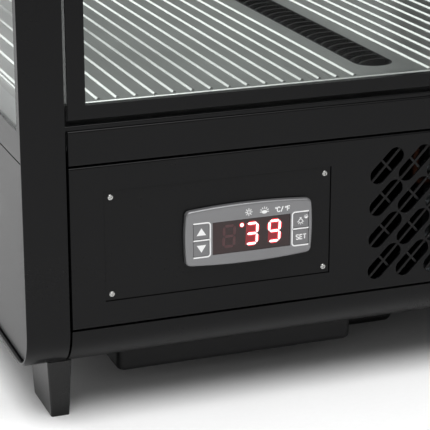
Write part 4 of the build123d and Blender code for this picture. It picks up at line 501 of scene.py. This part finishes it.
# ------------------------------------------------------------------ thermostat
@dataclass
class ThermostatPrint:
    """White marks printed on the thermostat's face and on its four keys.

    Attributes:
        ink: Thickness of the ink, in millimetres.
        frame_line: Width of the lines round the keys.
        frame_gap: Middle of those lines from the keys' edges.
        corner: Radius of their outer corners.
        letter_line: Width of the letters' strokes.
        letter_height: Height of the capital letters.
        icon_line: Width of the icons' rays.
        arrow_size: Half width and half height of an arrow.
        icon_drop: Icons below the middle between the window's top and the bezel's.
        snow_inset: Cooling icon left of the window's middle.
        thaw_step: Defrost icon right of the cooling icon.
        units_step: Middle of the units right of the cooling icon.
    """

    ink: float = 0.04
    frame_line: float = 0.8
    frame_gap: float = 0.55
    corner: float = 1.6
    letter_line: float = 0.58
    letter_height: float = 2.6
    icon_line: float = 0.42
    arrow_size: tuple[float, float] = (2.75, 2.1)
    icon_drop: float = 0.8
    snow_inset: float = 1.8
    thaw_step: float = 9.2
    units_step: float = 19.6

    def front(self) -> float:
        """Return the y of the ink's outer face."""
        return node_box("thermostat_bezel")[0][1] - self.ink

    def line(self, points: Array, width: float, close: bool = False) -> Shape:
        """Lay one printed line on the face.

        Args:
            points: Rows of x and z.
            width: Width of the line.
            close: Whether it is a ring.

        Returns:
            The printed line.
        """
        return stroke(np.asarray(points, dtype=float), width, self.front(), self.ink, close)

    def key_frame(self, upper: str, lower: str, open_side: int) -> Shape:
        """Lines round a pair of keys, with a bar between them, open towards the bezel's end.

        Args:
            upper: Node of the upper key.
            lower: Node of the lower key.
            open_side: Minus one where it opens to the left, one where it opens to the right.

        Returns:
            The printed frame.
        """
        (low_x, _, low_z), (high_x, _, _) = node_box(lower)
        (_, _, middle_z), (_, _, high_z) = node_box(upper)
        middle_z = (middle_z + node_box(lower)[1][2]) / 2
        opening = low_x if open_side < 0 else high_x
        spine = (high_x if open_side < 0 else low_x) - open_side * self.frame_gap
        top, bottom = high_z + self.frame_gap, low_z - self.frame_gap
        turn = spine + open_side * self.corner
        radii = (-open_side * self.corner, self.corner)
        upper_arc = ellipse((turn, top - self.corner), radii, 7, (90.0, 0.0))
        lower_arc = ellipse((turn, bottom + self.corner), radii, 7, (0.0, -90.0))
        outline = np.concatenate(([(opening, top)], upper_arc, lower_arc, [(opening, bottom)]))
        bar = [(opening, middle_z), (spine, middle_z)]
        return joined([self.line(outline, self.frame_line), self.line(bar, self.frame_line)])

    def arrow(self, key: str, points_up: bool) -> Shape:
        """A filled triangle in the middle of a key.

        Args:
            key: Node of the key.
            points_up: Whether its point is at the top.

        Returns:
            The printed arrow.
        """
        low, high = node_box(key)
        x, z = (low[0] + high[0]) / 2, (low[2] + high[2]) / 2
        half, reach = self.arrow_size[0], self.arrow_size[1] * (1.0 if points_up else -1.0)
        outline = np.array([(x - half, z - reach), (x + half, z - reach), (x, z + reach)])
        return slab(outline, self.front(), self.ink)

    def word(self, text: str, x: float, z: float, pitch: float) -> Shape:
        """Draw capital letters as plain strokes.

        Args:
            text: Letters among C, E, F, S, T, a slash and the degree ring o.
            x: Middle of the word.
            z: Its base line.
            pitch: Distance between the letters' middles.

        Returns:
            The printed word.
        """
        strokes: dict[str, list[list[tuple[float, float]]]] = {
            "S": [[(0.3, 0.36), (0.15, 0.5), (-0.15, 0.5), (-0.3, 0.36), (-0.27, 0.14), (0.27, -0.14),
                   (0.3, -0.36), (0.15, -0.5), (-0.15, -0.5), (-0.3, -0.36)]],
            "E": [[(0.3, 0.5), (-0.27, 0.5), (-0.27, -0.5), (0.3, -0.5)], [(-0.27, 0.0), (0.22, 0.0)]],
            "T": [[(-0.35, 0.5), (0.35, 0.5)], [(0.0, 0.5), (0.0, -0.5)]],
            "C": [[(0.32, 0.3), (0.15, 0.5), (-0.15, 0.5), (-0.32, 0.25), (-0.32, -0.25), (-0.15, -0.5),
                   (0.15, -0.5), (0.32, -0.3)]],
            "F": [[(0.3, 0.5), (-0.27, 0.5), (-0.27, -0.5)], [(-0.27, 0.0), (0.2, 0.0)]],
            "/": [[(0.22, 0.6), (-0.22, -0.6)]],
        }
        half = self.letter_height / 2
        first = x - pitch * (len(text) - 1) / 2
        shapes = []
        for place, letter in enumerate(text):
            middle = np.array([first + place * pitch, z + half])
            if letter == "o":
                ring = ellipse(middle + (0.18 * pitch, 0.7 * half), (0.42, 0.42), 12)
                shapes.append(self.line(ring, 0.35, close=True))
                continue
            shapes += [self.line(middle + np.array(points) * self.letter_height, self.letter_line)
                       for points in strokes[letter]]
        return joined(shapes)

    def rays(self, centre: Sequence[float], radii: tuple[float, float], count: int,
             arc: tuple[float, float] = (0.0, 360.0)) -> Shape:
        """Short lines that point away from a centre.

        Args:
            centre: Their common x and z.
            radii: Where each starts and ends.
            count: How many there are.
            arc: First and last direction in degrees.

        Returns:
            The printed rays.
        """
        inner = ellipse(centre, (radii[0], radii[0]), count, arc)
        outer = ellipse(centre, (radii[1], radii[1]), count, arc)
        return joined([self.line(np.stack(ends), self.icon_line) for ends in zip(inner, outer)])

    def lamp_mark(self, x: float, z: float) -> Shape:
        """A small bulb: a ring with a base under it and rays over it.

        Args:
            x: Its middle.
            z: Height of the ring's middle.

        Returns:
            The printed bulb.
        """
        return joined([self.line(ellipse((x, z - 0.4), (1.15, 1.15), 16), 0.45, close=True),
                       self.line([(x - 0.55, z + 1.05), (x + 0.55, z + 1.05)], 0.5),
                       self.line([(x - 0.55, z + 1.6), (x + 0.55, z + 1.6)], 0.45),
                       self.rays((x, z - 0.4), (1.6, 2.1), 5, (-170.0, -10.0))])

    def build(self) -> None:
        """Print the face and the keys."""
        bezel, lit = node_box("thermostat_bezel"), node_box("button_light")
        window = node_box("display_window")
        key_x = (lit[0][0] + lit[1][0]) / 2
        icon_z = (window[1][2] + bezel[1][2]) / 2 - self.icon_drop
        snow_x = (window[0][0] + window[1][0]) / 2 - self.snow_inset
        thaw_x = snow_x + self.thaw_step
        snow = self.rays((snow_x, icon_z), (0.55, 2.2), 8)
        thaw = joined([self.rays((thaw_x, icon_z - 0.6), (1.5, 2.7), 7, (-5.0, 185.0)),
                       slab(ellipse((thaw_x, icon_z - 0.9), (1.6, 1.0)), self.front(), self.ink)])
        units = self.word("oC/oF", snow_x + self.units_step, icon_z - 1.7, 1.95)
        face = joined([self.key_frame("button_up", "button_down", -1),
                       self.key_frame("button_light", "button_set", 1), snow, thaw, units])
        make_piece("face_marks", face, WHITE_INK, "cabinet")
        make_piece("up_mark", self.arrow("button_up", True), WHITE_INK, "up_key")
        make_piece("down_mark", self.arrow("button_down", False), WHITE_INK, "down_key")
        light_z = (lit[0][2] + lit[1][2]) / 2
        melt = joined([self.rays((key_x + 3.1, light_z + 1.6), (0.7, 1.35), 5, (0.0, 180.0)),
                       slab(ellipse((key_x + 3.1, light_z + 1.2), (0.9, 0.6), 12), self.front(), self.ink)])
        lamp = joined([self.lamp_mark(key_x - 0.2, light_z - 0.2), melt])
        make_piece("lamp_mark", lamp, WHITE_INK, "light_key")
        low, high = node_box("button_set")
        word = self.word("SET", key_x + 0.2, (low[2] + high[2] - self.letter_height) / 2, 2.15)
        make_piece("set_mark", word, WHITE_INK, "set_key")


@dataclass
class ReadOut:
    """Seven-segment digits behind the smoked window: two lit, one dark, and the lit point.

    Attributes:
        height: Height of a digit, in millimetres.
        width: Width of a digit.
        line: Width of a segment.
        slant: Sideways lean over height.
        first: Middle of the first digit from the window's left edge.
        pitch: Distance between the digits' middles.
        layer: Thickness of one layer of light.
        lift: Middle of the digits above the window's.
        segment_gap: Each segment's end from the corner it points at.
        halo: How much wider the red edge is than a segment.
        core: How much narrower the white middle is.
        point_radius: Radius of the lit point.
    """

    height: float = 13.2
    width: float = 7.7
    line: float = 1.55
    slant: float = 0.04
    first: float = 9.8
    pitch: float = 13.3
    layer: float = 0.03
    lift: float = 0.4
    segment_gap: float = 0.3
    halo: float = 1.0
    core: float = 0.25
    point_radius: float = 1.05

    def centre(self, place: int) -> Array:
        """Return the x and z of the middle of a digit, counted from the left."""
        low, high = node_box("display_window")
        return np.array([low[0] + self.first + place * self.pitch, (low[2] + high[2]) / 2 + self.lift])

    def lean(self) -> Array:
        """Return the shear that slants a digit: x grows with z by the slant."""
        return np.array([[1.0, 0.0], [self.slant, 1.0]])

    def segment(self, ends: Array, line: float) -> Array:
        """A six-sided bar between two points: it narrows to a point over half its width at each end.

        Args:
            ends: Two rows of x and z.
            line: Width of the bar.

        Returns:
            Its outline, as rows of x and z.
        """
        along = (ends[1] - ends[0]) / np.linalg.norm(ends[1] - ends[0])
        across = np.array([-along[1], along[0]]) * line / 2
        inset = along * line / 2
        start, stop = ends[0] + along * self.segment_gap, ends[1] - along * self.segment_gap
        return np.stack((start, start + inset - across, stop - inset - across, stop, stop - inset + across,
                         start + inset + across))

    def digit(self, lit: str, place: int, line: float, depth: float) -> Shape:
        """The lit segments of one digit, named a to g clockwise from the top with g in the middle.

        Args:
            lit: Names of the segments wanted.
            place: Which digit, counted from the left.
            line: Width of a segment.
            depth: The y of the front face.

        Returns:
            The segments as thin plates.
        """
        half_x, half_z = (self.width - self.line) / 2, (self.height - self.line) / 2
        corner = {"tl": (-half_x, half_z), "tr": (half_x, half_z), "ml": (-half_x, 0.0), "mr": (half_x, 0.0),
                  "bl": (-half_x, -half_z), "br": (half_x, -half_z)}
        runs = {"a": ("tl", "tr"), "b": ("tr", "mr"), "c": ("mr", "br"), "d": ("br", "bl"), "e": ("bl", "ml"),
                "f": ("ml", "tl"), "g": ("ml", "mr")}
        outlines = [self.segment(np.array([corner[end] for end in runs[name]]), line) @ self.lean()
                    + self.centre(place) for name in lit]
        return joined([slab(outline, depth, self.layer) for outline in outlines])

    def point(self, radius: float, depth: float) -> Shape:
        """The round point at the upper left of the second digit.

        Args:
            radius: Its radius.
            depth: The y of the front face.

        Returns:
            A thin disc.
        """
        centre = self.centre(0) + (self.pitch * 0.56, self.height * 0.42)
        return slab(ellipse(centre, (radius, radius)), depth, self.layer)

    def pane(self, place: int, depth: float) -> Shape:
        """The slanted patch of dim red light behind one lit digit.

        Args:
            place: Which digit, counted from the left.
            depth: The y of the front face.

        Returns:
            A thin plate, a little smaller than the digit.
        """
        half = np.array([self.width / 2, self.height / 2]) - self.segment_gap
        outline = np.array([(-1, -1), (1, -1), (1, 1), (-1, 1)]) * half
        return slab(outline @ self.lean() + self.centre(place), depth, self.layer)

    def number(self, line: float, radius: float, depth: float) -> Shape:
        """The lit 39 and its point.

        Args:
            line: Width of a segment.
            radius: Radius of the point.
            depth: The y of the front face.

        Returns:
            Every lit plate of one layer.
        """
        return joined([self.digit("abcdg", 1, line, depth), self.digit("abcdfg", 2, line, depth),
                       self.point(radius, depth)])

    def build(self) -> None:
        """Lay the dark digit, the red glow and the white-hot segments in front of one another."""
        face = node_box("display_window")[0][1]
        layers = [face - (step + 1) * self.layer for step in range(4)]
        make_piece("dark_digit", self.digit("abcdefg", 0, self.line, layers[0]), UNLIT_SEGMENT, "cabinet")
        make_piece("glow_panes", joined([self.pane(place, layers[0]) for place in (1, 2)]), RED_GLOW,
                   "cabinet")
        halo = self.number(self.line + self.halo, self.point_radius + 0.4, layers[1])
        make_piece("lit_halo", halo, RED_LIGHT, "cabinet")
        core = self.number(self.line - self.core, self.point_radius, layers[3])
        make_piece("lit_segments", core, WHITE_HOT, "cabinet")


# ------------------------------------------------------------------ moving air
class Axle(Enum):
    """Which way a fan's axle runs, as the number of that coordinate."""

    DEPTH = 1
    HEIGHT = 2


# The fan is made with its axle along z: this order of its coordinates turns it.
AXLE_ORDER = {Axle.DEPTH: (0, 2, 1), Axle.HEIGHT: (0, 1, 2)}


@dataclass
class AxialFan:
    """Moulded fan with twisted, cambered blades on a dished hub.

    Attributes:
        node: CAD node that it replaces.
        body: Body that it turns with.
        axis: Which way its axle runs.
        hub: Radius of the hub, in millimetres.
        bore: Radius of the hole in it.
        blades: How many blades.
        chord: Width of a blade along its section.
        pitch: Blade angle at half its reach, in degrees.
        skin: Greatest thickness of a blade.
        camber: Height of the section's arch.
        sweep: How far the tip leads the root, in radians.
        tip_gap: Blade tips inside the CAD fan's reach.
    """

    node: str
    body: str
    axis: Axle
    hub: float = 11.0
    bore: float = 2.15
    blades: int = 7
    chord: float = 20.0
    pitch: float = 27.0
    skin: float = 1.5
    camber: float = 1.1
    sweep: float = 0.35
    tip_gap: float = 0.3

    def blade(self, turn: float, reach: float) -> Array:
        """Loft one blade from the hub to the tip.

        Round the section the chord place is half the chord times a cosine, and the thickness is half the
        skin times a sine, on an arch of one minus the cosine squared. The section is turned by the pitch,
        which falls as the radius grows, then bent round the axle: the angle is the arc over the radius plus
        a sweep that grows with radius.

        Args:
            turn: Angle of the blade's root, in radians.
            reach: Radius of the tip.

        Returns:
            Rings of points about the axle along z, centred on the hub.
        """
        radius = np.linspace(self.hub - 0.6, reach, 9)[:, None]
        loop = np.linspace(0.0, 2 * math.pi, 20, endpoint=False)[None, :]
        share = (radius - radius[0]) / (reach - radius[0])
        chord = self.chord * (0.62 + 0.38 * np.sin(share * math.pi * 0.62 + 0.25))
        along = chord / 2 * np.cos(loop)
        lift = self.skin / 2 * np.sin(loop) + self.camber * (1.0 - np.cos(loop) ** 2)
        middle = (self.hub + reach) / 2
        angle = np.arctan(math.tan(math.radians(self.pitch)) * middle / (radius + middle * 0.55) * 1.3)
        arc = along * np.cos(angle) - lift * np.sin(angle)
        rise = (along * np.sin(angle) + lift * np.cos(angle)) * 0.9
        round_axle = turn + arc / radius + self.sweep * share
        return np.stack((radius * np.cos(round_axle), radius * np.sin(round_axle), rise), axis=-1)

    def build(self) -> None:
        """Make the hub and the blades and put them on the axle."""
        low, high = node_box(self.node)
        centre = (low + high) / 2
        axis = self.axis.value
        depth = high[axis] - low[axis]
        anchor = {joint["child"]: joint.get("pos_m") for joint in frame["record"]["behaviour"]["joints"]}
        across = [index for index in range(3) if index != axis]
        centre[across] = [anchor[self.body][index] / MM for index in across]
        reach = float(np.max(np.maximum(high - centre, centre - low)[across])) - self.tip_gap
        dish = [(self.bore, -0.5), (self.hub - 0.8, -0.5), (self.hub, -0.43), (self.hub, 0.36),
                (self.hub - 0.9, 0.47), (self.hub * 0.62, 0.5), (self.hub * 0.5, 0.34), (self.bore, 0.34)]
        profile = np.array(dish) * (1.0, depth)
        turns = np.linspace(0.0, 2 * math.pi, 48, endpoint=False)[:, None]
        ring = np.stack((profile[:, 0] * np.cos(turns), profile[:, 0] * np.sin(turns),
                         profile[:, 1] + 0.0 * turns), axis=-1)
        hub = Shape(ring.reshape(-1, 3), grid_faces(48, len(dish), close_rows=True, close_columns=True))
        blades = [capped_rings(self.blade(2 * math.pi * count / self.blades, reach))
                  for count in range(self.blades)]
        whole = joined([hub, *blades])
        whole.points = whole.points[:, AXLE_ORDER[self.axis]] + centre
        smooth(make_piece(f"{self.node}_blades", whole, BLACK_PLASTIC, self.body,
                          (self.node,)))


# ------------------------------------------------------------------ door seal and rear hoods
@dataclass
class BellowsSeal:
    """Folded magnetic seal round the back of the door.

    Attributes:
        width: Width along the door's sides, in millimetres.
        foot: Width along its lower and upper edges.
        folds: Bellows folds across the width.
        fold_depth: How deep the folds are.
    """

    width: float = 5.0
    foot: float = 3.5
    folds: int = 2
    fold_depth: float = 0.45

    def build(self) -> None:
        """Carry the folded profile round the door with mitred corners.

        The profile's back follows a cosine of the place across the width, and its edges are half circles.
        At each corner the place across goes inwards by the same share of each side's width.
        """
        low, high = node_box("door_gasket")
        middle = (low[1] + high[1]) / 2
        half = (high[1] - low[1]) / 2
        share = np.linspace(0.0, 1.0, 22)
        rim = np.clip(np.minimum(share, 1.0 - share) / 0.12, 0.0, 1.0)
        bulge = half * np.sqrt(1.0 - (1.0 - rim) ** 2)
        wave = self.fold_depth * 0.5 * (1.0 - np.cos(2 * math.pi * self.folds * share)) * rim
        back = np.stack((share, bulge - wave), axis=-1)
        front = np.stack((share[-2:0:-1], -bulge[-2:0:-1]), axis=-1)
        profile = np.concatenate((back, front))
        inward = np.array([(1, 1), (-1, 1), (-1, -1), (1, -1)])
        corner = np.array([(low[0], low[2]), (high[0], low[2]), (high[0], high[2]), (low[0], high[2])])
        flat = corner[:, None, :] + inward[:, None, :] * profile[None, :, :1] * (self.width, self.foot)
        depth = np.broadcast_to(middle + profile[:, 1], flat.shape[:2])
        rings = np.stack((flat[..., 0], depth, flat[..., 1]), axis=-1)
        shape = Shape(rings.reshape(-1, 3), grid_faces(4, len(profile), close_rows=True, close_columns=True))
        make_piece("door_seal", shape, SEAL, "door", ("door_gasket",))


@dataclass
class LouvreHoods:
    """Pressed hoods over the rear panel's air slots.

    Attributes:
        length: Length of a slot, in millimetres.
        height: Height of a hood.
        rise: How far a hood stands off the panel.
        columns: Slots side by side.
        rows: Slots one above another.
        step: Distance between the middles of neighbouring columns.
        pitch: Distance between rows.
        drop: Middle of the top row from the panel's upper edge.
        sheet: Thickness of the metal.
    """

    length: float = 62.0
    height: float = 7.0
    rise: float = 3.2
    columns: int = 5
    rows: int = 5
    step: float = 75.0
    pitch: float = 11.0
    drop: float = 12.6
    sheet: float = 0.8

    def hood(self) -> Shape:
        """One hood: it stands off by the rise times a quarter sine down its height.

        Along its length that is cut down by one minus the sixth power of the place, so both ends close.
        The inner face is the same surface moved in by the sheet, and the two are joined round their edges.

        Returns:
            The hood about the middle of its slot, standing towards positive y.
        """
        along = np.linspace(-1.0, 1.0, 17)[:, None]
        down = np.linspace(0.0, 1.0, 7)[None, :]
        stand = self.rise * np.sin(down * math.pi / 2) * (1.0 - along ** 6)
        x = along * self.length / 2 + 0.0 * down
        z = (0.5 - down) * self.height + 0.0 * along
        outer = np.stack((x, stand, z), axis=-1)
        inner = np.stack((x * 0.975, stand - self.sheet * 0.999, z), axis=-1)
        loop = np.concatenate((outer, inner[:, ::-1]), axis=1)
        return capped_rings(loop)

    def build(self) -> None:
        """Set a hood over each slot."""
        low, high = node_box("rear_panel")
        middle_x = (low[0] + high[0]) / 2
        hood = self.hood()
        places = [(middle_x + (column - (self.columns - 1) / 2) * self.step, high[1] + 0.1,
                   high[2] - self.drop - row * self.pitch)
                  for column in range(self.columns) for row in range(self.rows)]
        shape = joined([hood.moved(place) for place in places])
        smooth(make_piece("rear_louvre_hoods", shape, POWDER_COAT, "cabinet"))


# ------------------------------------------------------------------ studio
@dataclass
class Studio:
    """Pale floor, soft lamps and the camera.

    Attributes:
        floor_size: Side of the floor, in metres.
        azimuth: Camera heading from straight ahead, in degrees, positive to the right.
        elevation: Camera height angle, in degrees.
        distance: Camera to aim point, in metres.
        aim: Aim point on the front face, from the front left ground corner, in metres.
        lens: Focal length on a 36 mm sensor, in millimetres.
    """

    floor_size: float = 12.0
    azimuth: float = -20.515
    elevation: float = 18.445
    distance: float = 0.977
    aim: tuple[float, float] = (0.1071, 0.1139)
    lens: float = 150.59

    def floor(self) -> bpy.types.Object:
        """Lay the floor and give it white paper.

        Returns:
            The floor object.
        """
        half = self.floor_size / 2
        mesh = bpy.data.meshes.new("floor")
        mesh.from_pydata([(-half, -half, 0), (half, -half, 0), (half, half, 0), (-half, half, 0)], [],
                         [(0, 1, 2, 3)])
        floor = bpy.data.objects.new("floor", mesh)
        bpy.context.scene.collection.objects.link(floor)
        paper = Finish("white_studio_paper", "f6f6f6", "f2f2f2", (0.9, 0.95), grain_mm=3.0, relief_mm=0.0)
        mesh.materials.append(paper.build())
        return floor

    def lamp(self, name: str, place: Sequence[float], target: Sequence[float], size: float,
             power: float, spread: float) -> None:
        """Hang one soft square lamp.

        Args:
            name: Name of the lamp.
            place: Lamp position, in metres.
            target: Point that it faces.
            size: Side of the lamp, in metres.
            power: Power in watts.
            spread: How widely its light fans out, in degrees.
        """
        light = bpy.data.lights.new(name, "AREA")
        light.shape = "SQUARE"
        light.size = size
        light.energy = power
        light.spread = math.radians(spread)
        lamp = bpy.data.objects.new(name, light)
        lamp.visible_camera = False
        lamp.location = place
        heading = Vector(target) - Vector(place)
        lamp.rotation_euler = heading.to_track_quat("-Z", "Y").to_euler()
        bpy.context.scene.collection.objects.link(lamp)

    def world(self) -> None:
        """Fill the surroundings with even, dim white light."""
        world = bpy.data.worlds.new("white_room")
        bpy.context.scene.world = world
        world.use_nodes = True
        shade = world.node_tree.nodes["Background"]
        shade.inputs["Color"].default_value = linear("ffffff")
        shade.inputs["Strength"].default_value = 0.33

    def camera(self) -> bpy.types.Object:
        """Set the camera at its heading, aimed at the control plate's side of the front.

        Returns:
            The camera object.
        """
        low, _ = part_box("end_frame_left")
        aim = Vector((low.x + self.aim[0], low.y, self.aim[1]))
        turn, rise = math.radians(self.azimuth), math.radians(self.elevation)
        away = Vector((math.sin(turn) * math.cos(rise), -math.cos(turn) * math.cos(rise), math.sin(rise)))
        data = bpy.data.cameras.new("camera")
        data.lens = self.lens
        data.sensor_width = 36.0
        data.clip_start = 0.01
        camera = bpy.data.objects.new("camera", data)
        camera.location = aim + away * self.distance
        camera.rotation_euler = (-away).to_track_quat("-Z", "Y").to_euler()
        bpy.context.scene.collection.objects.link(camera)
        bpy.context.scene.camera = camera
        return camera

    def build(self) -> None:
        """Set up the whole studio."""
        bpy.context.scene.view_settings.view_transform = "Standard"
        self.floor()
        self.world()
        self.lamp("overhead_softbox", (-0.2, -0.9, 2.2), (0, -0.45, 0), 2.0, 64.0, 180.0)
        self.lamp("left_rear_pool", (-0.75, 0.4, 0.95), (-0.45, 0.3, 0), 0.5, 0.9, 80.0)
        self.lamp("rear_left_softbox", (-2.4, 4.6, 1.7), (0, 0, 0.2), 3.6, 90.0, 180.0)
        self.camera()
        LOG.info("studio ready")


def main() -> None:
    """Build the studio and dress the case."""
    Studio().build()
    dress_cad_nodes()
    ThermostatPrint().build()
    ReadOut().build()
    AxialFan("condenser_fan", "condenser_fan_rotor", Axle.DEPTH).build()
    AxialFan("evaporator_fan", "evaporator_fan_rotor", Axle.HEIGHT, chord=15.0).build()
    BellowsSeal().build()
    LouvreHoods().build()


if __name__ == "__main__":
    main()
